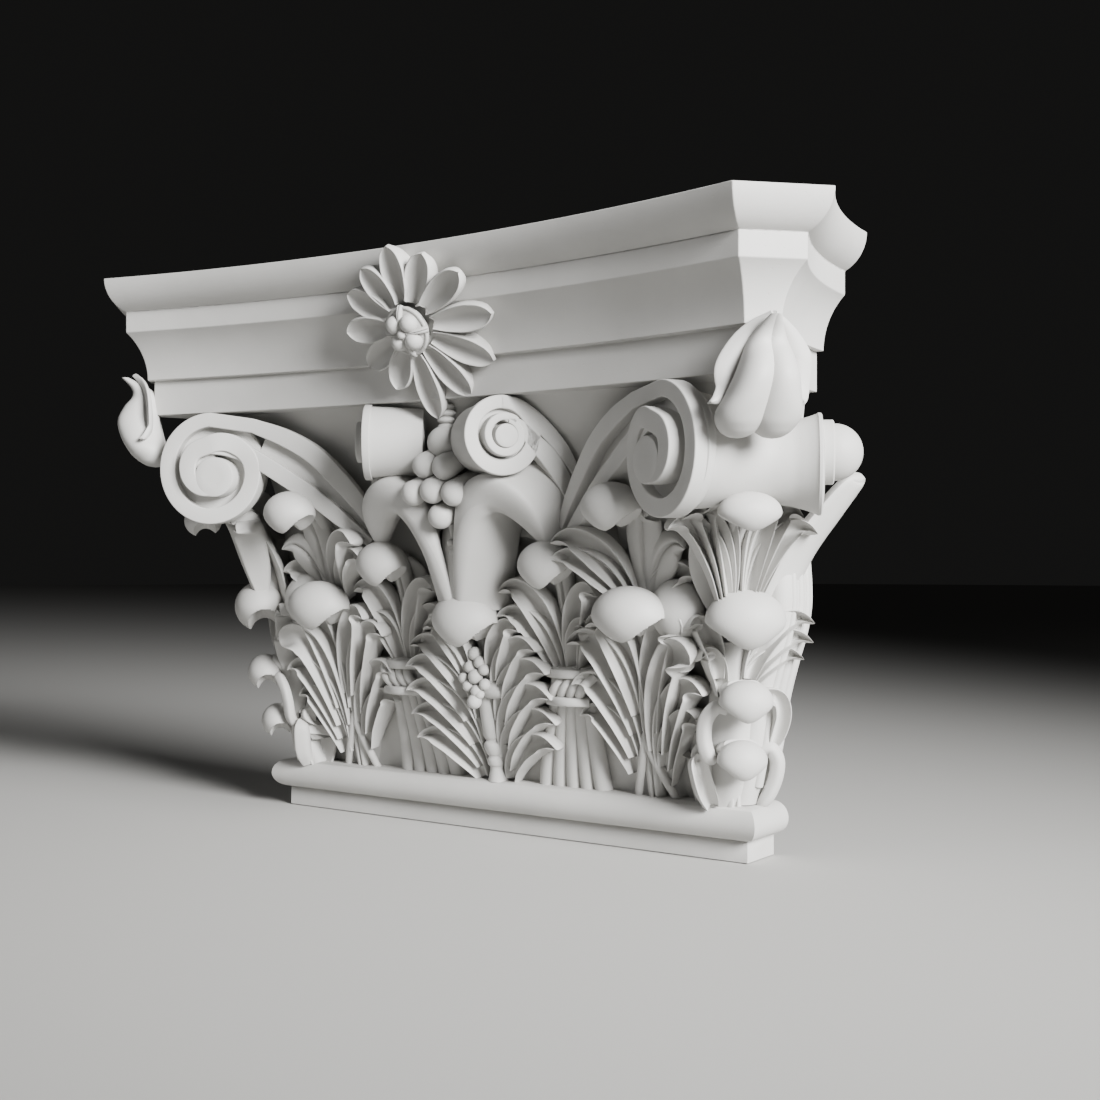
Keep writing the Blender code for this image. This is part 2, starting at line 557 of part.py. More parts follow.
def make_grapes():
    """Bunch under the rosette: a ringed stem, berries in rows and a thin tail."""
    berries = ((0.5, -70.0, 203.0, 8.8), (-7.0, -75.0, 190.8, 6.8), (5.0, -74.0, 189.0, 6.8),
               (-13.5, -76.5, 176.6, 6.4), (-1.3, -75.0, 178.4, 6.8), (10.9, -74.0, 176.1, 6.4),
               (1.0, -70.5, 164.5, 6.8))
    stretch = 1.7                    # berries run back to the stem
    forms = []
    for k, (x, y, z, radius) in enumerate(berries):
        centre = spot(x, y + (stretch - 1.0) * radius, z)
        forms.append(ball(f"berry_{k}", centre, [radius * MM, stretch * radius * MM, radius * MM],
                          segments=8, rings=6))
    forms.append(rod("berry_core", spot(0.0, -58.0, 166.0), spot(0.0, -58.0, 226.0), 5.0 * MM,
                     9.0 * MM))
    forms.append(rod("berry_tail", spot(0.0, -58.0, 122.0), spot(0.0, -63.0, 166.0), 2.4 * MM,
                     2.4 * MM, 6))
    for k in range(4):
        forms.append(ball(f"stem_ring_{k}", spot(0.0, -68.0, 209.0 + 5.0 * k),
                          [4.6 * MM, 4.6 * MM, 3.0 * MM], segments=8, rings=5))
    return forms


def make_leaf_fruit():
    """Small bunch, bud vase and rings that stand on the centre leaf's midrib."""
    berries = ((-1.3, 11.8, 3.2), (2.4, 7.5, 3.0), (-3.8, 4.8, 2.9), (5.4, 3.8, 2.6),
               (0.0, 0.0, 3.5), (-7.6, -1.0, 2.4), (6.5, -3.8, 2.6), (1.6, -7.5, 2.9),
               (0.5, -12.9, 3.4))
    forms = []
    for k, (x, z, radius) in enumerate(berries):
        forms.append(ball(f"small_berry_{k}", spot(x - 1.0, -36.0, 82.5 + z),
                          [1.15 * radius * MM, 10.0 * MM, 1.15 * radius * MM], segments=7, rings=5))
    profile = ((26.0, 5.0), (32.0, 4.0), (35.0, 3.4), (38.0, 4.2), (42.0, 3.6), (46.0, 5.2),
               (52.0, 6.0), (60.0, 6.2), (68.0, 5.4), (73.0, 3.0))
    rings = []
    for z, radius in profile:
        centre = spot(1.0, -24.0 - 0.22 * (z - 26.0), z)
        turns = [2.0 * math.pi * k / 8 for k in range(8)]
        rings.append([centre + np.array((math.cos(t), math.sin(t), 0.0)) * radius * MM
                      for t in turns])
    forms.append(loft("bud_vase", rings))
    forms.append(ball("bud", spot(7.0, -36.0, 75.0), [7.0 * MM, 4.5 * MM, 4.0 * MM], segments=8))
    return forms


PETAL = ((-1.0, 0.55), (-0.55, 0.05), (0.55, 0.05), (1.0, 0.55), (0.85, -1.0), (-0.85, -1.0))
# Lengths of the twelve petals in radii, from the right one anticlockwise, and how far each tip
# lies behind the rosette's plane in millimetres
PETAL_REACH = (1.22, 1.15, 0.98, 1.0, 0.9, 0.95, 1.0, 0.99, 0.93, 1.25, 1.15, 1.19)
PETAL_SAG = (5.5, 1.5, 4.0, 3.0, 1.0, 2.0, 1.0, 2.5, 0.0, 2.5, 5.0, 7.0)


def make_rosette():
    """Twelve cupped petals round a buttoned boss, leaning with the abacus mouldings."""
    lean = math.radians(26.7)
    normal = np.array((0.0, -math.cos(lean), -math.sin(lean)))
    rise = np.array((0.0, -math.sin(lean), math.cos(lean)))
    across = np.array((1.0, 0.0, 0.0))
    centre = spot(0.0, -99.0, 0.0)
    centre[2] = ABACUS_FOOT + BLOCK_HEIGHT + 0.57 * CAVETTO_HEIGHT
    forms = []
    for k, (length, sag) in enumerate(zip(PETAL_REACH, PETAL_SAG)):
        turn = 2.0 * math.pi * k / len(PETAL_REACH)
        ray = across * math.cos(turn) + rise * math.sin(turn)
        reach = np.array((0.24, 0.42, 0.62, 0.84, 1.0))
        path = np.array([centre + ray * ROSETTE_RADIUS * length * share
                         - normal * MM * (3.5 * math.sin(math.pi * share) + sag * share ** 2)
                         for share in reach])
        widths = np.array((0.085, 0.14, 0.165, 0.13, 0.02)) * ROSETTE_RADIUS
        forms.append(sweep(f"petal_{k}", path, PETAL, widths, np.array((7.0, 8.0, 7.0, 4.5, 2.5)) * MM,
                           out=normal))
    forms.append(rod("rosette_back", centre - normal * 2.0 * MM, centre - normal * 24.0 * MM,
                     0.4 * ROSETTE_RADIUS, 0.7 * ROSETTE_RADIUS, 12))
    boss = centre + normal * 1.0 * MM
    forms.append(ball("rosette_boss", boss, [12.0 * MM, 7.0 * MM, 12.0 * MM], normal, 12, 8))
    for k in range(4):
        turn = math.radians(45.0 + 90.0 * k)
        place = boss + (across * math.cos(turn) + rise * math.sin(turn)) * 5.7 * MM + normal * 3.0 * MM
        forms.append(ball(f"boss_bud_{k}", place, [5.2 * MM] * 3, normal, segments=8, rings=6))
    return forms


# Stations of a horn's bud: height above the abacus foot, sideways place of its middle, its two
# lobes' distance from that middle, outward reach from the horn's edge, and a lobe's half widths
# sideways and outward, in millimetres
BUD = ((-28.6, -4.7, 7.6, -25.0, 4.2, 4.0), (-25.0, -4.5, 7.7, -24.5, 7.8, 8.0),
       (-21.0, -4.3, 7.8, -22.5, 10.2, 10.0), (-13.0, -3.1, 6.4, -18.7, 10.1, 11.5),
       (-4.0, -1.8, 5.2, -16.7, 8.5, 11.5), (4.0, -1.0, 4.1, -17.9, 7.0, 9.5),
       (11.0, -0.8, 3.1, -19.9, 5.8, 7.0), (16.0, -0.7, 2.0, -17.2, 4.4, 5.0),
       (21.5, -0.6, 0.6, -8.8, 1.8, 2.0))


def make_bud(mirror):
    """Bud of two lobes that bends down over the bolster from the horn of the abacus."""
    name = "left" if mirror < 0 else "right"
    side, out = facing(45.0 * mirror)
    anchor = spot(210.4 * mirror, -110.3, 0.0) * (1.0, 1.0, 0.0)
    turns = [2.0 * math.pi * k / 10 for k in range(10)]
    forms = []
    for sign in (-1, 1):
        rings = []
        for height, middle, offset, reach, wide, deep in BUD:
            level = UP * (ABACUS_FOOT + height * MM)
            rings.append([anchor + level
                          + side * mirror * (middle + sign * offset + wide * math.cos(t)) * MM
                          + out * (reach + deep * math.sin(t)) * MM for t in turns])
        forms.append(loft(f"{name}_bud_{sign}", rings))
    return forms


# The casting

CARVING_BUDGET = 8500            # triangles left on the bell and its carving
BACK_EASE = 0.6 * MM             # corners this close to the wall are pressed onto it


def fuse(body, forms, operation="UNION"):
    """Join or cut the forms with the body; EXACT leaves open edges where many leaves cross."""
    guides = collection("pilaster_capital_" + operation.lower())
    for form in forms:
        guides.objects.link(form)
    modifier = body.modifiers.new(operation.lower(), "BOOLEAN")
    modifier.operation = operation
    modifier.operand_type = "COLLECTION"
    modifier.collection = guides
    modifier.solver = "MANIFOLD"
    keep_result(body)
    for form in forms:
        bpy.data.objects.remove(form)
    bpy.data.collections.remove(guides)


def keep_result(body):
    """Replace the body's mesh with what its modifiers make of it."""
    evaluated = body.evaluated_get(bpy.context.evaluated_depsgraph_get())
    made = bpy.data.meshes.new_from_object(evaluated)
    body.modifiers.clear()
    body.data = made


def connected_shells(builder):
    """Groups of faces that hang together by their edges."""
    shells = []
    waiting = set(builder.faces)
    while waiting:
        shell = []
        reached = [waiting.pop()]
        while reached:
            face = reached.pop()
            shell.append(face)
            for edge in face.edges:
                fresh = [other for other in edge.link_faces if other in waiting]
                waiting.difference_update(fresh)
                reached.extend(fresh)
        shells.append(shell)
    return shells


def enclosed_volume(shell):
    """Volume inside a shell of triangles, which is negative where it faces inward."""
    total = 0.0
    for face in shell:
        first, second, third = (vert.co for vert in face.verts)
        total += first.dot(second.cross(third)) / 6.0
    return total


def drop_pockets(body, single=False):
    """Remove the small closed pockets between crossing forms, and loose crumbs if single."""
    builder = bmesh.new()
    builder.from_mesh(body.data)
    bmesh.ops.triangulate(builder, faces=builder.faces[:])
    shells = sorted(connected_shells(builder), key=enclosed_volume)
    extra = shells[:-1] if single else [shell for shell in shells if enclosed_volume(shell) < 0.0]
    bmesh.ops.delete(builder, geom=[face for shell in extra for face in shell], context="FACES")
    builder.to_mesh(body.data)
    builder.free()


def thin_out(body):
    """Collapse the slivers where leaves cross until the carving is within its budget."""
    modifier = body.modifiers.new("thin_out", "DECIMATE")
    modifier.ratio = min(1.0, CARVING_BUDGET / len(body.data.polygons))
    modifier.use_collapse_triangulate = True
    keep_result(body)


def level_back(body):
    """Press the corners that thinning moved off the wall's plane back onto it."""
    for vert in body.data.vertices:
        if vert.co.y > -BACK_EASE:
            vert.co.y = 0.0


def main():
    for old in list(bpy.data.objects):
        bpy.data.objects.remove(old)
    body = make_bell()
    body.name = "pilaster_capital"
    body.hide_render = False
    body.display_type = "TEXTURED"
    collection("pilaster_capital").objects.link(body)
    fuse(body, [make_pocket()], "DIFFERENCE")
    carving = make_rosette() + make_grapes() + make_centre_leaf() + make_leaf_fruit()
    for mirror in (-1, 1):
        carving += make_volutes(mirror) + make_side_leaves(mirror) + make_corner_leaves(mirror)
        carving += make_side_leaf(mirror)
        carving += make_reeds(mirror) + make_calyx(mirror) + make_bud(mirror)
    fuse(body, carving)
    drop_pockets(body)
    thin_out(body)
    level_back(body)
    fuse(body, [make_abacus(), make_astragal()])
    drop_pockets(body, single=True)
    body.location.z = -MOUNT_HEIGHT
    plaster = bpy.data.materials.new("cast_plaster")
    plaster.use_nodes = True
    shader = plaster.node_tree.nodes["Principled BSDF"]
    shader.inputs["Base Color"].default_value = PLASTER
    shader.inputs["Roughness"].default_value = 0.6
    shader.inputs["Metallic"].default_value = 0.0
    body.data.materials.clear()
    body.data.materials.append(plaster)


main()
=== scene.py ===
# White cast plaster Corinthian capital for a pilaster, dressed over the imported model.
# Shapes are worked out in millimetres: heights from the bottom bed, x to the right, y to the wall.
import math

import bpy
import numpy as np
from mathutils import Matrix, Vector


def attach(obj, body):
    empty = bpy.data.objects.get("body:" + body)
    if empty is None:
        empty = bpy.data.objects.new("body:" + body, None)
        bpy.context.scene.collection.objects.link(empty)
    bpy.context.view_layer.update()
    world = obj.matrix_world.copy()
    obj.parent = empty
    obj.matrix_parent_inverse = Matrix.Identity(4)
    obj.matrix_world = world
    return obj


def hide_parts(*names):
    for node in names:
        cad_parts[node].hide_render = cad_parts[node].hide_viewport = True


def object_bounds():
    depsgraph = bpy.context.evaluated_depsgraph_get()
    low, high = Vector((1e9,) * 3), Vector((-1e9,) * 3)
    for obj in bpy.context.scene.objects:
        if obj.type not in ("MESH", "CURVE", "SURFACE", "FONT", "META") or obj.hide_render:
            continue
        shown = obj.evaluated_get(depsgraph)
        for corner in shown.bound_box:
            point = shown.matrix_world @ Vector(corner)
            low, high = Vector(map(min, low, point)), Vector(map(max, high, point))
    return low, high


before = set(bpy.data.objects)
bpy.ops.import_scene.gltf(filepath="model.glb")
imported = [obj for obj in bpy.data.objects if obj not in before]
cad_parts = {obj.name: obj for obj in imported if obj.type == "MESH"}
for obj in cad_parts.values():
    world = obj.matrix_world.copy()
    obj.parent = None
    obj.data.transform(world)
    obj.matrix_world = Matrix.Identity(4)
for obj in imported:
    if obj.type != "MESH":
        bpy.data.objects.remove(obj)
cadLow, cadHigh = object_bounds()
bedHeight = cadLow.z                        # the drawing's zero height, in the frame
drawnHeight = 298.1
mm = (cadHigh.z - cadLow.z) / drawnHeight   # metres in one drawn millimetre
up = np.array((0.0, 0.0, 1.0))
front = np.array((0.0, -1.0, 0.0))


# curves and directions

def unit(v):
    # each vector divided by its length
    v = np.asarray(v, float)
    return v / np.linalg.norm(v, axis=-1, keepdims=True)


def facing(azimuth):
    # sideways and outward directions of a face turned by azimuth degrees from the front
    a = math.radians(azimuth)
    return np.array((math.cos(a), math.sin(a), 0.0)), np.array((math.sin(a), -math.cos(a), 0.0))


def bezier(controls, count):
    # cubic curve: each control point weighted by its share of (t + (1 - t)) cubed
    t = np.linspace(0.0, 1.0, count)[:, None]
    s = 1.0 - t
    a, b, c, d = (np.asarray(p, float) for p in controls)
    return s ** 3 * a + 3 * s * s * t * b + 3 * s * t * t * c + t ** 3 * d


def through(points, count, closed=False):
    # smooth line: in each span a cubic that leaves along half the step between its neighbours
    p = np.asarray(points, float)
    if closed:
        p = np.vstack((p[-1:], p, p[:2]))
    else:
        p = np.vstack((2 * p[:1] - p[1:2], p, 2 * p[-1:] - p[-2:-1]))
    spans = len(p) - 3
    t = np.linspace(0.0, spans, count, endpoint=not closed)
    k = np.minimum(t.astype(int), spans - 1)
    f = (t - k)[:, None]
    a, b, c, d = p[k], p[k + 1], p[k + 2], p[k + 3]
    return 0.5 * (2 * b + (c - a) * f + (2 * a - 5 * b + 4 * c - d) * f ** 2
                  + (3 * b - a - 3 * c + d) * f ** 3)


def smoothStep(x):
    # eases from 0 to 1: three times the square less twice the cube
    x = np.clip(x, 0.0, 1.0)
    return x * x * (3.0 - 2.0 * x)


def blend(share, knots, values):
    # value at a share of the way, on a smooth line through the knots
    fine = through(np.column_stack((knots, values)), 40 * len(knots))
    return np.interp(share, fine[:, 0], fine[:, 1])


def taper(count, knots, values):
    # blend at even steps from 0 to 1; without knots the values are evenly spaced
    knots = np.linspace(0.0, 1.0, len(values)) if knots is None else knots
    return blend(np.linspace(0.0, 1.0, count), knots, values)


def circle(count):
    # angles evenly round a turn, without the last that falls on the first
    return np.linspace(0.0, 2.0 * math.pi, count, endpoint=False)


# closed surfaces: each is (points, four-sided faces, three-sided faces)

def shell(rings, start=None, end=None):
    # tube through rings of equal length, closed by a fan to a point at each end
    rows, cols = rings.shape[:2]
    start = rings[0].mean(0) if start is None else start
    end = rings[-1].mean(0) if end is None else end
    points = np.vstack((rings.reshape(-1, 3), start, end))
    at = np.arange((rows - 1) * cols)
    low = at - at % cols
    turn = (at + 1) % cols
    quads = np.column_stack((at, low + turn, low + turn + cols, at + cols))
    at = np.arange(cols)
    turn = (at + 1) % cols
    last = (rows - 1) * cols
    tris = np.vstack((np.column_stack((turn, at, np.full(cols, rows * cols))),
                      np.column_stack((last + at, last + turn, np.full(cols, rows * cols + 1)))))
    return outward(points, quads, tris)


def outward(points, quads, tris):
    # turn the faces round when the volume they enclose comes out negative
    a, b, c, d = (points[quads[:, k]] for k in range(4))
    volume = (a * np.cross(b, c)).sum() + (a * np.cross(c, d)).sum()
    a, b, c = (points[tris[:, k]] for k in range(3))
    volume += (a * np.cross(b, c)).sum()
    if volume < 0.0:
        quads, tris = quads[:, ::-1], tris[:, ::-1]
    return points, quads, tris


def mirrored(shells):
    # the same shells across the middle, with x turned to minus x
    return [outward(points * (-1.0, 1.0, 1.0), quads, tris) for points, quads, tris in shells]


def sweep(path, section, widths, depths, across=None, out=None):
    # section carried along a path: point + across * width * q + normal * depth * d
    along = unit(np.gradient(path, axis=0))
    across = np.cross(along, out) if across is None else np.broadcast_to(across, path.shape)
    across = unit(across)
    normal = unit(np.cross(across, along))
    q = (np.asarray(widths) * np.ones(len(path)))[:, None] * section[:, 0]
    d = (np.asarray(depths) * np.ones(len(path)))[:, None] * section[:, 1]
    return shell(path[:, None] + across[:, None] * q[..., None] + normal[:, None] * d[..., None])


def tube(path, radii, sides=16, across=(0.6, 0.75, 0.28)):
    # circle carried along a path that never runs along the direction across
    turn = circle(sides)
    along = unit(np.gradient(path, axis=0))
    side = unit(np.cross(along, across))
    radii = (np.asarray(radii) * np.ones(len(path)))[:, None, None]
    ring = (side[:, None] * np.cos(turn)[:, None]
            + np.cross(along, side)[:, None] * np.sin(turn)[:, None])
    return shell(path[:, None] + ring * radii)


def ball(centre, radii, out=front, rows=20, cols=32, carve=None):
    # ellipsoid: centre + radii times the sideways, outward and upward parts of each direction,
    # scaled by carve
    out = unit(out)
    side = unit(np.cross(up, out))
    rise = np.cross(out, side)
    tilt = np.linspace(0.0, math.pi, rows + 2)[1:-1, None]
    turn = circle(cols)
    n = np.stack((np.sin(tilt) * np.cos(turn), np.sin(tilt) * np.sin(turn),
                  np.cos(tilt) * np.ones(cols)), axis=-1)
    ends = np.array(((0.0, 0.0, 1.0), (0.0, 0.0, -1.0)))
    if carve is not None:
        n = n * carve(n)[..., None]
        ends = ends * carve(ends)[..., None]
    axes = np.array((side * radii[0], out * radii[1], rise * radii[2]))
    return shell(np.asarray(centre) + n @ axes, centre + ends[0] @ axes, centre + ends[1] @ axes)


# pieces

def addPiece(name, shells, bevel=0.0, sharp=38.0):
    # one smooth mesh from several shells, with its sharp arrises softened by a bevel in mm
    points = np.vstack([s[0] for s in shells]) * mm + (0.0, 0.0, bedHeight)
    starts = np.cumsum([0] + [len(s[0]) for s in shells[:-1]])
    quads = np.vstack([s[1] + at for s, at in zip(shells, starts)])
    tris = np.vstack([s[2] + at for s, at in zip(shells, starts)])
    corners = np.concatenate((quads.ravel(), tris.ravel()))
    loopStarts = np.concatenate((np.arange(len(quads)) * 4, quads.size + np.arange(len(tris)) * 3))
    mesh = bpy.data.meshes.new(name)
    mesh.vertices.add(len(points))
    mesh.vertices.foreach_set("co", points.astype(np.float32).ravel())
    mesh.loops.add(len(corners))
    mesh.loops.foreach_set("vertex_index", corners.astype(np.int32))
    mesh.polygons.add(len(loopStarts))
    mesh.polygons.foreach_set("loop_start", loopStarts.astype(np.int32))
    mesh.update(calc_edges=True)
    mesh.polygons.foreach_set("use_smooth", np.ones(len(mesh.polygons), bool))
    mesh.set_sharp_from_angle(angle=math.radians(sharp))
    mesh.validate()
    piece = bpy.data.objects.new(name, mesh)
    bpy.context.scene.collection.objects.link(piece)
    if bevel:
        edge = piece.modifiers.new("worn_arris", "BEVEL")
        edge.width = bevel * mm
        edge.segments = 2
        edge.limit_method = "ANGLE"
        edge.angle_limit = math.radians(sharp)
        edge.harden_normals = True
    mesh.materials.append(plaster)
    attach(piece, "root")
    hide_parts("pilaster_capital")
    return piece


def addPair(name, shells):
    # the piece right of the middle and its mirror image on the left
    addPiece("right_" + name, shells)
    addPiece("left_" + name, mirrored(shells))


# materials

def linear(hexColour):
    # sRGB hex to linear red, green, blue, alpha
    s = np.array([int(hexColour[k:k + 2], 16) for k in (1, 3, 5)]) / 255.0
    return (*np.where(s <= 0.04045, s / 12.92, ((s + 0.055) / 1.055) ** 2.4).tolist(), 1.0)


def addNode(tree, kind, settings=None, links=None):
    # node of a kind; settings go to its fields or sockets, links to its inputs
    node = tree.nodes.new(kind)
    for key, value in (settings or {}).items():
        if hasattr(node, str(key)):
            setattr(node, key, value)
        else:
            node.inputs[key].default_value = value
    for key, source in (links or {}).items():
        tree.links.new(source, node.inputs[key])
    return node


plasterLook = {
    "body": "#BEBDBA",                                # set gypsum, a neutral white
    "thin": "#B4B3B0",                                # where the slurry dried a little darker
    "ior": 1.5, "specular": 0.35,                     # chalky, with little shine
    "roughest": 0.66, "smoothest": 0.5,
    "cloudSize": 70.0, "cloudEdges": (0.35, 0.7),     # mm across a patch of tone; where it fades
    "grainSize": 1.1, "grainDepth": 0.03,             # mm; real grain of 0.1 mm is too fine to show
    "poreSize": 4.0, "poreDepth": 0.12,               # mm between pinholes left by air bubbles
    "poreEdges": (0.05, 0.12), "poreStrength": 0.5,   # their rim, as shares of that distance
    "waveSize": 14.0, "waveDepth": 0.10,              # mm, hand-finished unevenness
}


def castPlaster(look):
    # cast gypsum plaster from a rubber mould: matt with a faint soft sheen, cloudy white, with
    # pinholes and a hand-rubbed skin
    material = bpy.data.materials.new("castPlaster")
    material.use_nodes = True
    tree = material.node_tree
    shader = tree.nodes["Principled BSDF"]
    shader.inputs["Metallic"].default_value = 0.0
    shader.inputs["IOR"].default_value = look["ior"]
    shader.inputs["Specular IOR Level"].default_value = look["specular"]
    where = {"Vector": addNode(tree, "ShaderNodeTexCoord").outputs["Object"]}
    clouds = addNode(tree, "ShaderNodeTexNoise", {
        "Scale": 1.0 / (look["cloudSize"] * mm), "Detail": 4.0, "Roughness": 0.55}, where)
    tone = addNode(tree, "ShaderNodeMapRange", {
        "From Min": look["cloudEdges"][0], "From Max": look["cloudEdges"][1]},
        {"Value": clouds.outputs["Fac"]})
    colour = addNode(tree, "ShaderNodeMix", {
        "data_type": "RGBA", 6: linear(look["body"]), 7: linear(look["thin"])},
        {"Factor": tone.outputs["Result"]})
    tree.links.new(colour.outputs[2], shader.inputs["Base Color"])
    grain = addNode(tree, "ShaderNodeTexNoise", {
        "Scale": 1.0 / (look["grainSize"] * mm), "Detail": 3.0, "Roughness": 0.6}, where)
    wave = addNode(tree, "ShaderNodeTexNoise", {
        "Scale": 1.0 / (look["waveSize"] * mm), "Detail": 2.0}, where)
    pores = addNode(tree, "ShaderNodeTexVoronoi", {"Scale": 1.0 / (look["poreSize"] * mm)}, where)
    pits = addNode(tree, "ShaderNodeMapRange", {
        "From Min": look["poreEdges"][0], "From Max": look["poreEdges"][1]},
        {"Value": pores.outputs["Distance"]})
    soft = addNode(tree, "ShaderNodeBump", {"Strength": 1.0, "Distance": look["waveDepth"] * mm},
                   {"Height": wave.outputs["Fac"]})
    fine = addNode(tree, "ShaderNodeBump", {"Strength": 1.0, "Distance": look["grainDepth"] * mm},
                   {"Height": grain.outputs["Fac"], "Normal": soft.outputs["Normal"]})
    holes = addNode(tree, "ShaderNodeBump", {
        "Strength": look["poreStrength"], "Distance": look["poreDepth"] * mm},
        {"Height": pits.outputs["Result"], "Normal": fine.outputs["Normal"]})
    tree.links.new(holes.outputs["Normal"], shader.inputs["Normal"])
    rough = addNode(tree, "ShaderNodeMapRange", {
        "To Min": look["smoothest"], "To Max": look["roughest"]}, {"Value": grain.outputs["Fac"]})
    tree.links.new(rough.outputs["Result"], shader.inputs["Roughness"])
    return material


plaster = castPlaster(plasterLook)


# abacus: a profile of offsets and heights carried round a plan of arcs and cut corners

abacus = {
    "halfWidth": 173, "depth": 77.7,              # block at the wall and at the middle of the front
    "frontCurve": 861.6, "sideCurve": 285.6,      # radii of the hollow front and sides
    "sideMiddle": 23, "horn": 24, "hornNormal": (32.2, -30.3),
    "foot": 224.4, "blockTop": 243.7, "coveTop": 269.6, "fasciaTop": 280.8, "top": 298.1,
    "stepOut": 3.5, "fasciaOut": 14.5, "ovoloOut": 25.6,
    "coveTurn": 48, "ovoloTurn": 66,              # degrees of arc in the curved mouldings
    "fanAt": (0, -30, 0), "arris": 0.5,
    "hair": 0.01,                                 # a hair's rise that keeps the step flat
}


def planRing(offsets, a=abacus, frontSteps=72, sideSteps=18, hornSteps=5):
    # outline for each offset: side arc from the wall, cut corner, front arc, and its mirror image
    offsets = np.asarray(offsets, float)[:, None]
    middle = a["sideMiddle"]
    frontY = -a["depth"] - a["frontCurve"]
    sideX = a["halfWidth"] + math.sqrt(a["sideCurve"] ** 2 - middle ** 2)
    frontR, sideR = a["frontCurve"] - offsets, a["sideCurve"] - offsets
    normal = unit(a["hornNormal"])
    along = np.array((-normal[1], normal[0]))
    level = normal @ (a["halfWidth"], -a["depth"]) + a["horn"] + offsets
    near = level - normal[1] * frontY
    far = level - normal[0] * sideX - normal[1] * middle
    frontReach, sideReach = np.sqrt(frontR ** 2 - near ** 2), np.sqrt(sideR ** 2 - far ** 2)
    frontCorner = (normal[0] * near + along[0] * frontReach,
                   frontY + normal[1] * near + along[1] * frontReach)
    sideCorner = (sideX + normal[0] * far - along[0] * sideReach,
                  middle + normal[1] * far - along[1] * sideReach)
    y = sideCorner[1] * np.linspace(0.0, 1.0, sideSteps + 1)
    x = sideX - np.sqrt(sideR ** 2 - (y - middle) ** 2)
    t = np.linspace(0.0, 1.0, hornSteps + 1)[1:-1]
    hornX = sideCorner[0] + (frontCorner[0] - sideCorner[0]) * t
    hornY = sideCorner[1] + (frontCorner[1] - sideCorner[1]) * t
    frontX = frontCorner[0] * np.linspace(1.0, 0.0, frontSteps // 2 + 1)
    half = np.stack((np.hstack((x, hornX, frontX)),
                     np.hstack((y, hornY, frontY + np.sqrt(frontR ** 2 - frontX ** 2)))), axis=-1)
    return np.concatenate((half, half[:, -2::-1] * (-1.0, 1.0)), axis=1)


def arc(lowOffset, highOffset, lowZ, highZ, degrees, hollow, steps=14):
    # curved moulding between two points: upright at its foot when hollow, at its top when not
    turn = np.radians(degrees) * np.linspace(0.0, 1.0, steps)
    run, rise = (1 - np.cos(turn)) / (1 - np.cos(turn[-1])), np.sin(turn) / np.sin(turn[-1])
    if not hollow:
        run, rise = 1.0 - run[::-1], 1.0 - rise[::-1]
    return np.column_stack((lowOffset + (highOffset - lowOffset) * run,
                            lowZ + (highZ - lowZ) * rise))


def makeAbacus(a=abacus):
    # block, cove, fascia and ovolo from the foot up, each level a ring of the plan
    levels = np.vstack((
        ((0.0, a["foot"]), (0.0, a["blockTop"] - a["hair"])),
        arc(a["stepOut"], a["fasciaOut"], a["blockTop"], a["coveTop"], a["coveTurn"], True),
        ((a["fasciaOut"], a["fasciaTop"]),),
        arc(a["fasciaOut"], a["ovoloOut"], a["fasciaTop"], a["top"], a["ovoloTurn"], False)))
    plan = planRing(levels[:, 0])
    heights = np.broadcast_to(levels[:, 1][:, None, None], plan.shape[:2] + (1,))
    rings = np.concatenate((plan, heights), axis=-1)
    centre = np.array(a["fanAt"])
    addPiece("abacus", [shell(rings, centre + up * a["foot"], centre + up * a["top"])],
             bevel=a["arris"], sharp=25.0)


makeAbacus()
print("abacus made")


# neck: fillet and half-round astragal along the front and back to the wall

neck = {"halfWidth": 150, "depth": 27.3, "filletTop": 10.5, "radius": 8, "hair": 0.05,
        "arris": 0.5}


def makeAstragal(n=neck):
    # three-sided plan set out by the fillet's straight rise and then by half a circle
    turn = np.linspace(0.0, math.pi, 25)
    offsets = np.concatenate(((0.0, 0.0), n["radius"] * np.sin(turn)))
    heights = np.concatenate(((0.0, n["filletTop"] - n["hair"]),
                              n["filletTop"] + n["radius"] * (1 - np.cos(turn))))
    x, y = n["halfWidth"] + offsets, -n["depth"] - offsets
    ring = np.stack([np.stack(corner, -1) for corner in (
        (x, 0 * x, heights), (x, y, heights), (-x, y, heights), (-x, 0 * x, heights))], axis=1)
    addPiece("astragal", [shell(ring)], bevel=n["arris"])


makeAstragal()


# bell: core behind the leaves, with a pocket behind the flower

bell = {
    "foot": 26.1, "height": 198.7,                # reaches a little into the astragal and abacus
    "drawnFoot": 26.5, "drawnHeight": 197.9,
    "depth": 17, "swell": 11, "swellEnd": 0.9, "flare": 53,
    "halfWidth": 147, "sideFlare": 20,
    "corner": 15, "cornerFlare": 12, "cornerDepth": 0.9, "cornerEnd": 0.999,
    "pocketHalf": 40, "pocketRise": 11, "pocketAt": 146, "pocketDepth": 21.6,
}


def bellSide(z, b=bell):
    # share of the height, kept between 0 and 1, and the half width there
    share = np.clip((z - b["drawnFoot"]) / b["drawnHeight"], 0.0, 1.0)
    return share, b["halfWidth"] + b["sideFlare"] * share


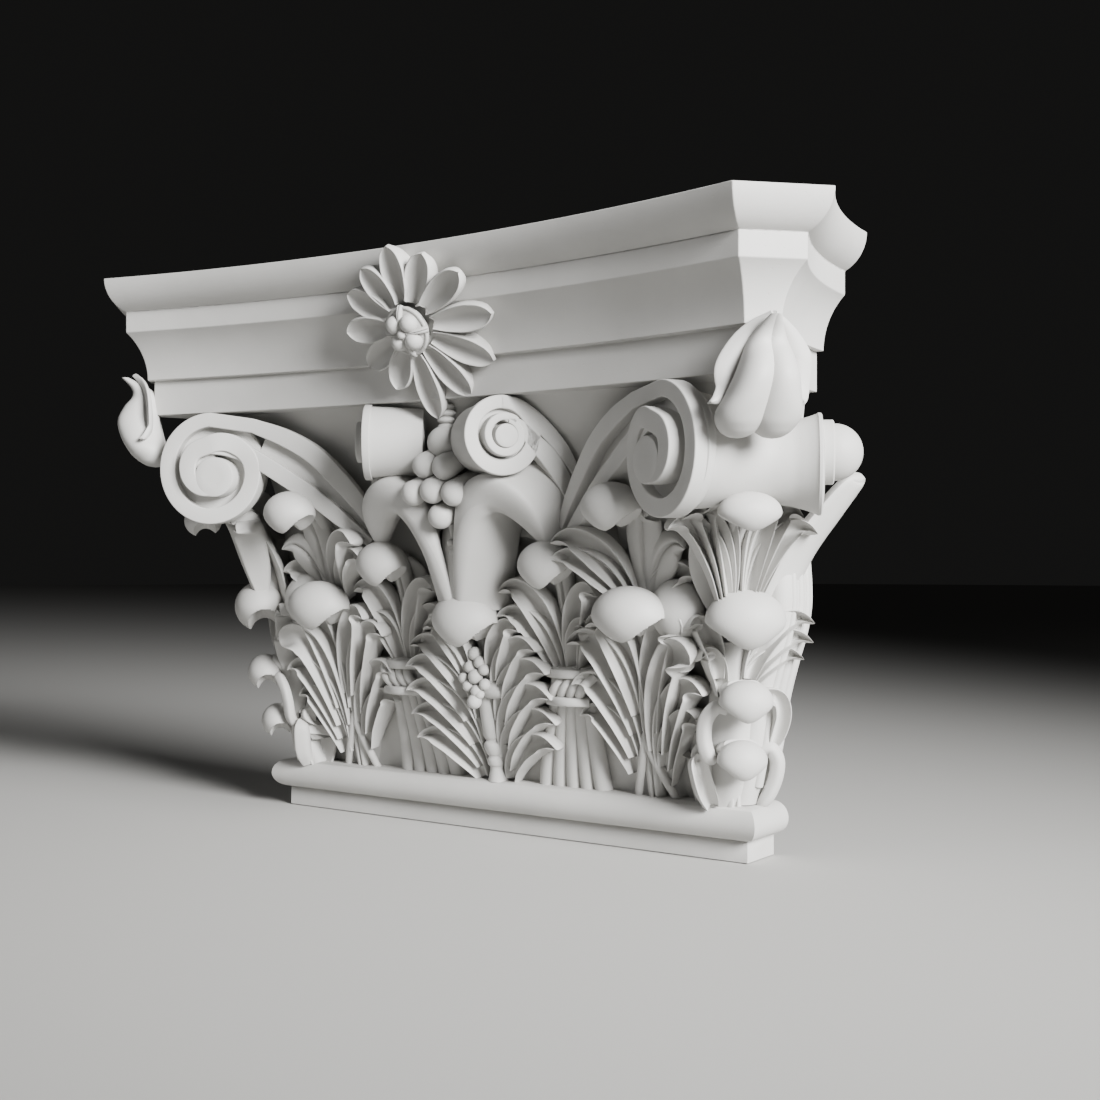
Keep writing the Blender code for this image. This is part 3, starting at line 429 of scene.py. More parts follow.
def makeBell(b=bell, rows=90, cols=121):
    # depth = foot + half a sine's swell + a flare with the height's fourth power, rounded off at
    # the corners by an ellipse, less an elliptical pocket
    z = b["foot"] + b["height"] * np.linspace(0.0, 1.0, rows)[:, None]
    rise = (z - b["drawnFoot"]) / b["drawnHeight"]
    depth = (b["depth"] + b["swell"] * np.sin(math.pi * np.minimum(rise / b["swellEnd"], 1.0))
             + b["flare"] * rise ** 4)
    share, half = bellSide(z)
    cut = b["corner"] + b["cornerFlare"] * share
    x = half * np.linspace(-1.0, 1.0, cols)
    inside = np.clip((np.abs(x) - (half - cut)) / cut, 0.0, 1.0)
    y = -depth + cut * (1.0 - np.sqrt(1.0 - b["cornerEnd"] * inside ** 2)) * b["cornerDepth"]
    hollow = 1.0 - (x / b["pocketHalf"]) ** 2 - ((z - b["pocketAt"]) / b["pocketRise"]) ** 2
    y = y + b["pocketDepth"] * np.sqrt(np.clip(hollow, 0.0, 1.0))
    frontFace = np.stack((x, y, z * np.ones(cols)), axis=-1)
    wall = np.stack((x[:, ::-1], 0.0 * x, z * np.ones(cols)), axis=-1)
    addPiece("bell", [shell(np.concatenate((frontFace, wall), axis=1))], sharp=60.0)


makeBell()
print("neck and bell made")


# scrolls: the corner volutes and the two helices beside the middle

def roundedBand(place, spine, half, top, back, soft=0.7):
    # flat-faced band along a line in the scroll's plane; its two front edges are rounded by soft
    along = unit(np.gradient(spine, axis=0))
    across = np.column_stack((-along[:, 1], along[:, 0]))
    half, top, back = (np.asarray(v, float) * np.ones(len(spine)) for v in (half, top, back))
    soft = np.minimum(soft, 0.6 * half)[:, None]
    a = np.radians(np.linspace(0.0, 90.0, 5))
    q = -half[:, None] + soft * (1 - np.cos(a))
    h = top[:, None] - soft * (1 - np.sin(a))
    q = np.hstack((-half[:, None], q, -q[:, ::-1], half[:, None]))
    h = np.hstack((back[:, None], h, h[:, ::-1], back[:, None]))
    uv = spine[:, None] + across[:, None] * q[..., None]
    return shell(place(uv[..., 0], uv[..., 1], h))


def placer(centre, azimuth, away):
    # point of the scroll's plane: centre + u * side * away + v * up + lift * out
    side, out = facing(azimuth)
    return lambda u, v, lift: (np.asarray(centre) + np.asarray(u)[..., None] * side * away
                               + np.asarray(v)[..., None] * up + np.asarray(lift)[..., None] * out)


def rolled(turns, reaches, count):
    # spiral by compass: degrees clockwise from the top against reach from the centre
    degrees = np.linspace(turns[0], turns[-1], count)
    r = blend(degrees, turns, reaches)
    a = np.radians(degrees)
    return np.column_stack((r * np.sin(a), r * np.cos(a))), degrees


def spool(start, startOut, end, endOut, profile, sides=64, samples=201):
    # drum between two upright discs that need not be parallel, on a bent axis; profile gives
    # share of the way and radius
    handle = 0.45 * np.linalg.norm(end - start)
    line = bezier((start, start - startOut * handle, end - endOut * handle, end), samples)
    share, radius = np.asarray(profile, float).T
    axis = unit((1.0 - share)[:, None] * startOut - share[:, None] * endOut)
    across = unit(np.cross(axis, up))
    middle = line[np.round((samples - 1) * share).astype(int)]
    turn = circle(sides)
    ring = across[:, None] * np.cos(turn)[:, None] + up * np.sin(turn)[:, None]
    return shell(middle[:, None] + ring * radius[:, None, None])


volute = {
    "front": (143.3, -96.9, 193.3), "frontAzimuth": -27,
    "side": (197, -44, 187), "sideAzimuth": 117,
    "radius": 30.5, "sideRadius": 23, "floor": -6, "back": -19, "coilLift": 5,
    "upperStalk": ((-93, -33), (-85.4, -21.5), (-73.4, -7.5), (-58.9, 6.5), (-42.4, 16.2),
                   (-24.4, 23)),
    "upperHalf": (2.6, 4, 5, 5, 4.8, 3.9),
    "lowerStalk": ((-90.4, -41), (-74.4, -28.5), (-57.9, -15.5), (-43.4, -6), (-31.4, 1.6),
                   (-20.5, 7.6), (-9.5, 11.3), (0, 12.1)),
    "lowerHalf": (2.4, 4, 4.5, 4.6, 4.6, 4.6, 4.6, 4.5),
    "rimTurns": (0, 90, 180, 270, 315, 360, 405, 450, 495, 540, 560),
    "rimReach": (26.6, 24.2, 26.2, 24, 18.6, 12.1, 11.4, 10.9, 11.5, 12.6, 13.8),
    "rimHalf": (3.9, 4.3, 4.3, 4.5, 4.9, 5, 4.8, 4.6, 4, 3, 1),
    "rimBack": -9, "riseFrom": 262, "riseOver": 90,          # degrees where the rim lifts as coil
    "bedFrom": 350, "bedReach": 0.8, "bedWider": 1.5, "bedTop": 1.8,
    "eye": (-4.2, -5), "eyeRadius": 10.8,
    # drum behind the scroll: share of its length, and radius as a share of the nearer disc's
    "drumEdge": ((0, 0.88), (0, 0.93), (0.01, 0.955), (0.05, 0.95), (0.07, 0.92)),
    "waist": (0.08, 0.8), "waistEnd": 0.75, "waistShares": (0.88, 0.84),
    "trumpet": (0.82, 0.965), "trumpetFrom": 0.8, "trumpetOver": 0.165, "trumpetFlare": 0.14,
    "drumLip": ((0.968, 1), (0.985, 1), (0.99, 0.975), (1, 0.7)),
    # eye on the side: height, collar from front to back, and the ball in it
    "sideEye": 192.3, "collar": (4.5, -4),
    "collarEdge": ((0, 13.4), (0.03, 14.2), (0.06, 14.5), (1, 14.5)),
    "ballOut": 4.6, "ballRadius": 12.8,
}
helix = {
    "front": (44.6, -79.8, 204.5), "frontAzimuth": 55, "radius": 19.9, "floor": -3.4,
    "back": -8, "coilLift": 4.2,
    "upperStalk": ((-40.5, -24), (-36.5, -15), (-30, -5), (-21, 4.5), (-13, 11.6),
                   (-6.5, 15.4)),
    "upperHalf": (1.6, 2.6, 3.6, 4, 3.6, 3.3),
    "lowerStalk": ((-37, -34), (-31, -20.5), (-24, -10.5), (-17, -3.6), (-10.5, 3.2),
                   (-5, 6.6), (0, 8.4)),
    "lowerHalf": (1.8, 4.4, 4.8, 4.2, 3.5, 2.6, 1.6),
    "rimTurns": (0, 90, 180, 270, 361), "rimReach": (16.3, 16.1, 15.7, 15.9, 16.3),
    "rimHalf": (3.3, 3.5, 4, 3.7, 3.3), "rimBack": -3.7,
    "coilTurns": (-40, 60, 180, 300, 345), "coilReach": (8.9, 8.8, 8.6, 7.9, 7.3),
    "coilHalf": (1.9, 1.9, 2, 2.1, 1.6),
    "eye": (-0.6, -0.5), "eyeRadius": 5.9,
    "drum": 31, "drumProfile": ((0, 0.8), (0, 0.93), (0.5, 0.91), (1, 0.88)),
}
scrollFit = {
    "stalkBed": 6.0 / 30.5,        # half width of the bed between the stalks, in radii
    "bedSink": 2.0, "eyeSink": 3.0, "coilSink": 1.0, "seat": 0.02, "joinRows": 8,
    "backEase": 0.3,               # share of the lower stalk over which its back drops away
    "lowerRise": 0.28, "lowerShy": 0.2,
    "eyeEdge": ((-0.9, 0.0), (-0.25, -0.25), (0.0, -0.9)),   # lift and radius at its rounded edge
    "eyeCrown": (0.05, 0.5),
}


def scroll(place, v, f=scrollFit, upperSteps=40, lowerSteps=50):
    # upper stalk and rim in one band, lower stalk with a bed beside it, coil and raised eye
    floor, lift = v["floor"], v["coilLift"]
    stalk, stalkHalf = through(v["upperStalk"], upperSteps), taper(upperSteps, None, v["upperHalf"])
    rim, degrees = rolled(v["rimTurns"], v["rimReach"], 170)
    rimHalf = blend(degrees, v["rimTurns"], v["rimHalf"])
    if "coilTurns" in v:
        # a closed rim ring that the stalk runs into, and a coil of its own inside it
        coil, turned = rolled(v["coilTurns"], v["coilReach"], 120)
        coilHalf = blend(turned, v["coilTurns"], v["coilHalf"])
        joined = np.vstack((stalk, rim[:f["joinRows"]]))
        joinedHalf = np.concatenate((stalkHalf, rimHalf[:f["joinRows"]]))
        shells = [roundedBand(place, coil, coilHalf, lift, floor - f["coilSink"]),
                  roundedBand(place, rim, rimHalf, 0.0, v["rimBack"]),
                  roundedBand(place, joined, joinedHalf, -f["seat"], v["rimBack"])]
    else:
        # the rim itself runs on as the coil, with a shallow bed inside it
        rimLift = lift * smoothStep((degrees - v["riseFrom"]) / v["riseOver"])
        inner = degrees > v["bedFrom"]
        shells = [roundedBand(place, np.vstack((stalk, rim)), np.concatenate((stalkHalf, rimHalf)),
                              np.concatenate((np.zeros(upperSteps), rimLift)), v["rimBack"]),
                  roundedBand(place, rim[inner] * v["bedReach"], rimHalf[inner] + v["bedWider"],
                              v["bedTop"], v["rimBack"])]
    lower, lowerHalf = through(v["lowerStalk"], lowerSteps), taper(lowerSteps, None, v["lowerHalf"])
    share = np.linspace(0.0, 1.0, lowerSteps)
    middle = smoothStep(share / f["backEase"]) * smoothStep((1.0 - share) / f["backEase"])
    back = floor - f["bedSink"] + (v["back"] - floor + f["bedSink"]) * middle
    rise = smoothStep((share - 1.0 + f["lowerRise"]) / f["lowerRise"])
    shells.append(roundedBand(place, lower, lowerHalf, (lift - f["lowerShy"]) * rise, back))
    between = 0.5 * (lower + through(v["upperStalk"], lowerSteps))[:upperSteps]
    bedHalf = f["stalkBed"] * v["radius"]
    shells.append(roundedBand(place, between, bedHalf, floor, back[:upperSteps]))
    turn, r = circle(64), v["eyeRadius"]
    edge = [(floor - f["eyeSink"], r)] + [(lift + out, r + wider) for out, wider in f["eyeEdge"]]
    edge.append((lift + f["eyeCrown"][0], f["eyeCrown"][1] * r))
    shells.append(shell(np.array([
        place(v["eye"][0] + size * np.cos(turn), v["eye"][1] + size * np.sin(turn),
              height * np.ones(64)) for height, size in edge])))
    return shells


def makeVolute(v=volute):
    # scroll, and a drum that narrows to a waist and opens like a trumpet to the disc at the side
    shells = scroll(placer(v["front"], v["frontAzimuth"], 1.0), v)
    frontOut, sideOut = facing(v["frontAzimuth"])[1], facing(v["sideAzimuth"])[1]
    start, end = np.array(v["front"]), np.array(v["side"])
    r, small = v["radius"], v["sideRadius"]
    wide, narrow = v["waistShares"][0] * r, v["waistShares"][1] * small
    s, t = np.linspace(*v["waist"], 14), np.linspace(*v["trumpet"], 8)
    opening = ((t - v["trumpetFrom"]) / v["trumpetOver"]) ** 1.8
    profile = np.vstack((
        np.array(v["drumEdge"]) * (1.0, r),
        np.column_stack((s, wide + (narrow - wide) * smoothStep(s / v["waistEnd"]))),
        np.column_stack((t, narrow + small * v["trumpetFlare"] * opening)),
        np.array(v["drumLip"]) * (1.0, small)))
    shells.append(spool(start + frontOut * v["floor"], frontOut, end, sideOut, profile, sides=96))
    eye = np.array((*v["side"][:2], v["sideEye"]))
    near, far = eye + sideOut * v["collar"][0], eye + sideOut * v["collar"][1]
    shells.append(spool(near, sideOut, far, -sideOut, v["collarEdge"]))
    radii = (v["ballRadius"],) * 3
    shells.append(ball(eye + sideOut * v["ballOut"], radii, sideOut, rows=36, cols=52))
    addPair("volute", shells)


def makeHelix(h=helix):
    # scroll, and a plain drum that narrows a little behind it
    shells = scroll(placer(h["front"], h["frontAzimuth"], -1.0), h)
    out, start = facing(h["frontAzimuth"])[1], np.array(h["front"])
    near, far = start + out * h["floor"], start - out * h["drum"]
    profile = np.array(h["drumProfile"]) * (1.0, h["radius"])
    shells.append(spool(near, out, far, -out, profile, sides=48))
    addPair("helix", shells)


makeVolute()
makeHelix()
print("scrolls made")


# leaves: hooded tips, ribbed blades and channelled lobes

# outlines across a blade, half a width and half a depth from its middle
channel = through(((-1.0, 0.1), (-0.95, 0.55), (-0.84, 0.7), (-0.68, 0.4), (-0.25, -0.45),
                   (0.3, -0.55), (0.68, 0.3), (0.86, 1.0), (0.95, 1.05), (1.0, 0.6), (0.98, -1.2),
                   (0.3, -1.7), (-0.5, -1.6), (-0.97, -1.0)), 48, closed=True)
ribbed = through(((-1.0, 0.2), (-0.6, 0.75), (-0.2, 0.85), (0.0, 0.3), (0.2, 0.85), (0.6, 0.75),
                  (1.0, 0.2), (0.9, -0.8), (0.0, -1.0), (-0.9, -0.8)), 36, closed=True)
sheet = through(((-1.0, 0.0), (-0.5, 0.75), (0.0, 1.0), (0.5, 0.75), (1.0, 0.0), (0.5, -0.9),
                 (0.0, -1.0), (-0.5, -0.9)), 36, closed=True)

hoodShape = {
    # in radii of the tip: how far it draws in to a lip, the tunnel's place outwards and upwards,
    # its radius in the middle and what its mouths add, and the deepest cut
    "drawIn": 0.13, "tunnelOut": -0.15, "tunnelUp": -0.95, "tunnel": 0.48, "mouth": 0.38,
    "least": 0.3,
}


def hood(n, h=hoodShape):
    # rolled leaf tip: below its middle it draws in to a lip, and a round tunnel runs sideways
    # under it; each direction is cut back to where it first meets the tunnel
    s, o, z = n[..., 0], n[..., 1], n[..., 2]
    skin = 1.0 - h["drawIn"] * np.where(z < 0.0, (2.0 * s * z) ** 2, 0.0)
    wide = h["tunnel"] + h["mouth"] * np.abs(s)
    toward = h["tunnelOut"] * o + h["tunnelUp"] * z
    flat = o * o + z * z + 1e-9
    gap = toward ** 2 - flat * (h["tunnelOut"] ** 2 + h["tunnelUp"] ** 2 - wide ** 2)
    meets = (gap > 0.0) & (toward > 0.0)
    reach = np.where(meets, (toward - np.sqrt(np.clip(gap, 0.0, None))) / flat, 2.0)
    return np.minimum(skin, np.maximum(reach, h["least"]))


lobeKinds = {
    # thickness, share of the way where the tip starts to roll, how far it rolls out and down, and
    # half widths at shares of the way
    "pointed": {"thick": 5.6, "rollFrom": 0.78, "out": 3.0, "down": 2.0,
                "at": (0, 0.15, 0.4, 0.6, 0.75, 0.88, 0.96, 1.0),
                "wide": (0.55, 0.8, 1.06, 1.0, 0.82, 0.48, 0.2, 0.02)},
    "hooked": {"thick": 5.6, "rollFrom": 0.62, "out": 4.5, "down": 4.0,
               "at": (0, 0.15, 0.4, 0.65, 0.85, 0.95, 1.0),
               "wide": (0.55, 0.75, 1.0, 1.05, 0.98, 0.66, 0.1)},
}
lobeKinds["soft"] = {**lobeKinds["pointed"], "thick": 3.36}
lobePath = {"lift": 0.62, "out": 0.4, "middle": 0.5, "arch": 1.2, "archOut": 0.9}


def lobe(root, tip, width, out=front, kind="pointed", lean=0.1, p=lobePath, steps=36):
    # finger of a leaf: leaves the rib upwards, arches over and ends in a point, in a broad tip
    # that hangs over, or as a soft pleated blade
    k, side = lobeKinds[kind], np.cross(up, out)
    step = np.subtract(tip, root)
    s, o, z = step @ side, step @ out, step @ up
    second = root + side * lean * s + up * p["lift"] * z + out * p["out"] * o
    third = root + side * p["middle"] * s + up * p["arch"] * z + out * p["archOut"] * o
    path = bezier((root, second, third, tip), steps)
    share = np.linspace(0.0, 1.0, steps)
    roll = np.clip((share - k["rollFrom"]) / (1.0 - k["rollFrom"]), 0.0, 1.0)[:, None]
    if kind == "hooked":
        turn = 0.5 * math.pi * roll
        path = path + out * k["out"] * np.sin(turn) - up * k["down"] * (1.0 - np.cos(turn))
    else:
        path = path + (out * k["out"] - up * k["down"]) * roll ** 2
    section = ribbed if kind == "soft" else channel * (1.0 if s > 0.0 else -1.0, 1.0)
    depths = k["thick"] * blend(share, (0, 0.3, 0.75, 0.92, 1.0), (0.5, 0.95, 1.05, 0.8, 0.08))
    return sweep(path, section, width * blend(share, k["at"], k["wide"]), depths, out=out)


blade = {
    "steps": 40, "ribDepth": 4.0,
    "tipIn": 0.35, "tipUp": 0.6,                   # where the rib ends in the tip, in its radii
    "climb": 0.4, "neckIn": 0.45, "neckBack": 4.0, "neckDown": 2.0,
    "bodySteps": 34, "behind": 6.5, "bodyDepth": 3.0,
}


def leaf(spec, b=blade):
    # rib from the foot to inside the hooded tip, a thin body behind it, and lobes from its sides
    side, out = facing(spec.get("azimuth", 0.0))
    base, tip = np.array(spec["base"]), np.array(spec["tip"])
    rise, radii = tip - base, spec["ball"]
    shells = [ball(tip, radii, out, rows=60, cols=88, carve=hood)]
    high = tip - out * b["tipIn"] * radii[1] + up * b["tipUp"] * radii[2]
    path = bezier((base, base + up * b["climb"] * rise[2] + out * spec.get("bow", 0.0),
                   high - out * (b["neckIn"] * (out @ rise) + b["neckBack"]) - up * b["neckDown"],
                   high), b["steps"])
    share = np.linspace(0.0, 1.0, b["steps"])
    flare = spec.get("flare", 1.0)
    half = spec["rib"] * blend(share, (0, 0.5, 0.85, 1.0), (0.8, 1.0, 0.15 + flare, 0.8 * flare))
    shells.append(sweep(path, ribbed, half, b["ribDepth"], across=side))
    if "body" in spec:
        behind = path[:b["bodySteps"]] - out * b["behind"]
        half = spec["body"] * blend(share, (0, 0.35, 0.7, 0.86), (0.45, 1.0, 0.9, 0.3))
        shells.append(sweep(behind, sheet, half[:b["bodySteps"]], b["bodyDepth"], across=side))
    for root, end, width, *kind in spec["lobes"]:
        shells.append(lobe(np.array(root), np.array(end), width, out, *kind))
    for foot in spec.get("stalkFeet", ()):
        second, third, tip = spec["stalkRun"]      # stalks that meet in a point over the foot
        second = np.array(second) + (spec["stalkSpread"] * foot, 0.0, 0.0)
        path = bezier(((foot, *spec["stalkFoot"]), second, third, tip), 20)
        shells.append(tube(path, spec["stalkRadius"] * taper(20, (0, 0.8, 1.0), (1.0, 0.95, 0.1))))
    return shells


def bothSides(lobes):
    # the lobes given for the right, and their mirror images
    return lobes + [((-r[0], r[1], r[2]), (-t[0], t[1], t[2]), w) for r, t, w in lobes]


# each lobe is where it leaves the rib, where it ends, its half width and its kind
centreLeaf = {
    "base": (0, -21, 26), "tip": (0, -53.1, 112.5), "ball": (18.6, 15, 15),
    "rib": 7, "body": 22, "bow": 4,
    "lobes": bothSides([
        ((9.5, -24, 27.5), (46, -33.5, 49), 6.8), ((7.5, -26, 34), (47.5, -36.5, 62), 7.2),
        ((9, -30, 46), (47.5, -41, 75), 7.4), ((10, -34, 59), (45.8, -43.5, 88), 7.2),
        ((10, -37, 71), (41, -45.5, 99.5), 6.8), ((8, -39, 82), (31.5, -46.5, 109), 6.2)]),
}
largeLeaf = {
    "base": (97, -21.5, 26), "tip": (101.2, -55.4, 117.5), "ball": (19, 15, 14),
    "rib": 5.4, "body": 20, "bow": 10,
    "lobes": [
        ((92.8, -32, 58), (60.7, -46, 104), 7.8), ((90.7, -30, 46.6), (59.2, -39.4, 83), 7.4),
        ((88.5, -27, 38), (61.1, -34.3, 67.5), 6.8), ((96, -36, 68), (73, -48, 113), 7.2),
        ((101, -34, 60), (127, -46, 113), 8.4, "hooked"),
        ((103, -32, 50), (133, -48, 99), 8.2, "hooked"),
        ((105, -29, 42), (135.5, -42, 82), 7.6), ((105.8, -26, 34), (131, -37, 67), 7)],
    "stalkFeet": (86.5, 109), "stalkFoot": (-22, 25), "stalkRadius": 2.1,
    "stalkRun": ((28.6, -27, 36), (96.5, -31.5, 50), (95.5, -32.5, 60)), "stalkSpread": 0.7,
}
reedLeaf = {
    "base": (52, -32, 84), "tip": (53.6, -57.2, 140.8), "ball": (14.5, 12.5, 12.5),
    "rib": 5, "body": 13,
    "lobes": [
        ((50, -35, 88), (21.5, -50, 129), 6.6), ((47, -34, 86), (17, -46, 116), 6),
        ((56, -35, 88), (79, -48, 128), 6.6), ((57, -34, 86), (72, -43, 111), 6)],
}
upperLeaf = {
    "base": (100, -38, 125), "tip": (104, -75.2, 168.5), "ball": (15, 13, 12),
    "rib": 5, "body": 16,
    "lobes": [
        ((95, -42, 126), (65, -66, 154), 7.4), ((92, -42, 123), (61, -62, 145), 6.6),
        ((104, -42, 128), (112, -56, 166), 9, "soft"),
        ((107, -41, 126), (131, -51, 151), 9, "soft"),
        ((108, -40, 124), (135, -46, 138), 7)],
}

addPiece("centre_leaf", leaf(centreLeaf))
addPair("large_leaf", leaf(largeLeaf))
addPair("reed_leaf", leaf(reedLeaf))
addPair("upper_leaf", leaf(upperLeaf))


# corner: four leaves over one another on an edge turned to the corner, with curled straps beside
# the lower two; lobes and straps are given as places to the side, heights and reaches outwards

corner = {
    "through": (168, -60), "azimuth": 45, "leafAzimuth": 43,
    "leaves": (
        {"base": (142, -26, 26), "tip": (151.8, -36.1, 49.7), "ball": (12, 9.5, 9.8),
         "rib": 5, "flare": 1.9, "lobes": ()},
        {"base": (142, -28, 44), "tip": (156.7, -41.6, 77.9), "ball": (12.8, 10, 10.3),
         "rib": 5, "flare": 1.9, "lobes": ()},
        {"base": (146, -30, 72), "tip": (157.8, -44, 116), "ball": (19, 15, 14.5),
         "rib": 4.6, "body": 15, "flare": 1.4,
         "lobes": (((-3, 80, -34), (-14, 100, -32), 4.6), ((-5, 88, -33), (-20, 114, -33), 5.4),
                   ((7, 80, -34), (36, 99, -32), 5.4), ((8, 84, -32), (40, 107, -30), 5.6),
                   ((9, 88, -30), (40, 116, -28), 5.6))},
        {"base": (149, -42, 118), "tip": (175, -72.8, 165.2), "ball": (14.5, 10.5, 9.2),
         "rib": 4.2, "body": 19,
         "lobes": (((-6, 124, -19), (-36, 160, -9), 6.2), ((-5, 126, -17), (-29, 165, -6), 6),
                   ((-4, 128, -16), (-20, 168, -3), 5.6), ((4, 128, -16), (17, 168, -5), 5.6),
                   ((5, 126, -17), (28, 165, -9), 6), ((6, 124, -19), (36, 158, -13), 6))},
    ),
    "trunk": ((4.8, 25, -51), (4.8, 36, -46.5), (4.8, 50, -43.5), (4.8, 68, -41), (4.8, 88, -40),
              (4.8, 105, -40)),
    "trunkHalf": (13.5, 12, 12, 12, 11.5, 10), "trunkDepth": 9,
    "straps": (       # points, half width and outline
        (((-2, 74, -27), (-7, 75, -29), (-11, 69, -32), (-11.5, 61, -34), (-10, 54, -35),
          (-7, 50, -37), (-3, 50, -40)), 3.8, sheet),
        (((12, 75, -32), (18, 79.5, -31), (24, 78, -31), (26.5, 71, -33), (25.5, 62, -36),
          (22.5, 52, -39)), 4.4, channel),
        (((17, 53, -37), (22, 54, -36), (25.5, 48, -37), (25, 39, -39), (21.5, 30, -41),
          (17, 25, -43)), 3.8, sheet),
        (((-5, 26, -44), (-9, 34, -41), (-12, 44, -40), (-13.5, 52, -40)), 4.6, channel)),
    "plate": ((126, -26.5, 25), (125, -29, 52), 11), "plateAzimuth": -40, "plateLean": 0.3,
    "swelling": ((121.5, -44, 120), (14, 10, 15)),               # plain, behind the leaves
}


def cornerPoints(points, c=corner):
    # place on the corner's edge: a point on it + along * side + up * height + out * reach
    along, out = facing(c["azimuth"])
    side, height, reach = np.array(points, float).T[..., None]
    return np.array((*c["through"], 0.0)) + up * height + along * side + out * reach


def makeCorner(c=corner):
    # trunk and straps: outlines carried along smooth lines through their points
    shells = []
    for spec in c["leaves"]:
        lobes = [(*cornerPoints((root, end)), width) for root, end, width in spec["lobes"]]
        shells += leaf({**spec, "azimuth": c["leafAzimuth"], "lobes": lobes})
    side, out = facing(c["azimuth"])
    half = taper(40, None, c["trunkHalf"])
    shells.append(sweep(through(cornerPoints(c["trunk"]), 40), sheet, half, c["trunkDepth"],
                        across=side))
    for points, width, section in c["straps"]:
        half = width * taper(44, (0, 0.25, 0.6, 0.85, 1.0), (0.7, 0.95, 1.0, 0.85, 0.15))
        shells.append(sweep(through(cornerPoints(points), 44), section, half, 0.8 * half, out=out))
    root, end, width = c["plate"]
    shells.append(lobe(np.array(root), np.array(end), width, facing(c["plateAzimuth"])[1], "hooked",
                       lean=c["plateLean"]))
    shells.append(ball(*c["swelling"]))
    addPair("corner_leaves", shells)


makeCorner()
print("leaves made")


# side of the bell: a plain leaf back, and a leaf that slants up past the scroll's eye

sideLeaf = {
    "silhouette": ((149.6, 27), (155, 52), (159, 76), (164, 95), (168, 108),
                   (170.5, 122.7), (170, 140), (168, 155)),
    "depth": 27, "edge": 7, "lap": 0.2,            # rounded front edge, and least lap on the bell
    "inside": 140, "innerDepth": 2,                # hidden corner inside the bell
    "ribs": ((-5.5, 2.2), (-12.5, 2.6), (-19.5, 2.2)), "ribSink": 0.6, "ribEnds": 3,
    "spray": ((158, -15, 124), (171, -14.3, 148), (185, -11.6, 167),
              (195.5, -9, 180), (199.5, -7.5, 183)),
    "tip": ((196.5, -9, 181.5), (3.4, 7, 3)),
}


def makeSideLeaf(s=sideLeaf, rows=60):
    # at each height: hidden corner, lap on the bell, wall, quarter round to the front, and the
    # other hidden corner
    x, z = (v[:, None] for v in through(s["silhouette"], rows).T)
    a = np.radians(np.linspace(0.0, 90.0, 9))
    flat, deep = 0.0 * x, s["edge"] - s["depth"]
    xs = np.hstack((flat + s["inside"], np.minimum(bellSide(z)[1], x - s["lap"]), x,
                    x - s["edge"] + s["edge"] * np.cos(a), flat + s["inside"]))
    ys = np.hstack((flat - s["innerDepth"], flat, flat, deep - s["edge"] * np.sin(a) + flat,
                    flat - s["depth"]))
    shells = [shell(np.stack((xs, ys, z * np.ones(xs.shape[1])), axis=-1))]
    kept = slice(s["ribEnds"], rows - s["ribEnds"])
    for at, radius in s["ribs"]:
        rib = np.hstack((x - s["ribSink"], at + 0.0 * z, z))[kept]
        shells.append(tube(rib, radius * taper(len(rib), (0, 0.5, 1.0), (1.3, 1.0, 0.7)), sides=14))
    half = taper(48, (0, 0.33, 0.66, 0.9, 1.0), (14.8, 14.0, 11.2, 6.6, 1.6))
    shells.append(sweep(through(s["spray"], 48), sheet, half,
                        taper(48, (0, 0.7, 1.0), (6.5, 4.6, 1.5)), across=-front))
    shells.append(ball(*s["tip"]))
    addPair("side_leaf", shells)


makeSideLeaf()


# reeds: five stalks tied by two bands with a twisted cord between

reeds = {
    "count": 5, "foot": 29.6, "step": 8.7, "head": 46.5, "headStep": 4.2,
    "footRadius": 4.7, "headRadius": 3.4,
    "belts": (72.2, 86.2), "beltHalf": 2.3, "beltDepth": 3.4,
    "beltFrom": (43, -36), "beltStep": 4.6, "beltBow": 4.5,
    "cords": 4, "cordFrom": (44, -36.5, 73.5), "cordStep": 5.4, "cordSlant": (2.2, 2.9),
    "cordBow": 4, "cordRadius": 2.5,
}
beltSection = through(((-1.0, -1.0), (-1.0, 0.2), (-0.75, 0.95), (0.75, 0.95), (1.0, 0.2),
                       (1.0, -1.0)), 24, closed=True)


def makeReeds(r=reeds):
    # stalks on cubic curves; belts and slanting cords bow outwards by half a sine
    shells = []
    foot, head, step, headStep = r["foot"], r["head"], r["step"], r["headStep"]
    for k in range(r["count"]):
        path = bezier(((foot + step * k, -20.0, 25.0), (foot + 2 + (step - 1) * k, -23.0, 45.0),
                       (head - 2 + (headStep + 0.6) * k, -32.0, 72.0),
                       (head + headStep * k, -35.5, 90.0)), 20)
        shells.append(tube(path, np.linspace(r["footRadius"], r["headRadius"], 20), sides=20))
    t = np.arange(6)
    x = r["beltFrom"][0] + r["beltStep"] * t
    y = r["beltFrom"][1] - r["beltBow"] * np.sin(math.pi * t / 5)
    for height in r["belts"]:
        path = through(np.column_stack((x, y, np.full(6, height))), 24)
        shells.append(sweep(path, beltSection, r["beltHalf"], r["beltDepth"], out=front))
    t = np.arange(5)
    (x, y, z), (slant, rise) = r["cordFrom"], r["cordSlant"]
    for k in range(r["cords"]):
        path = np.column_stack((x + r["cordStep"] * k + slant * t,
                                y - r["cordBow"] * np.sin(math.pi * t / 4), z + rise * t))
        shells.append(tube(through(path, 14), r["cordRadius"]))
    addPair("reeds", shells)


makeReeds()


# flower over the centre leaf: two thick lips that climb, roll outwards and hang

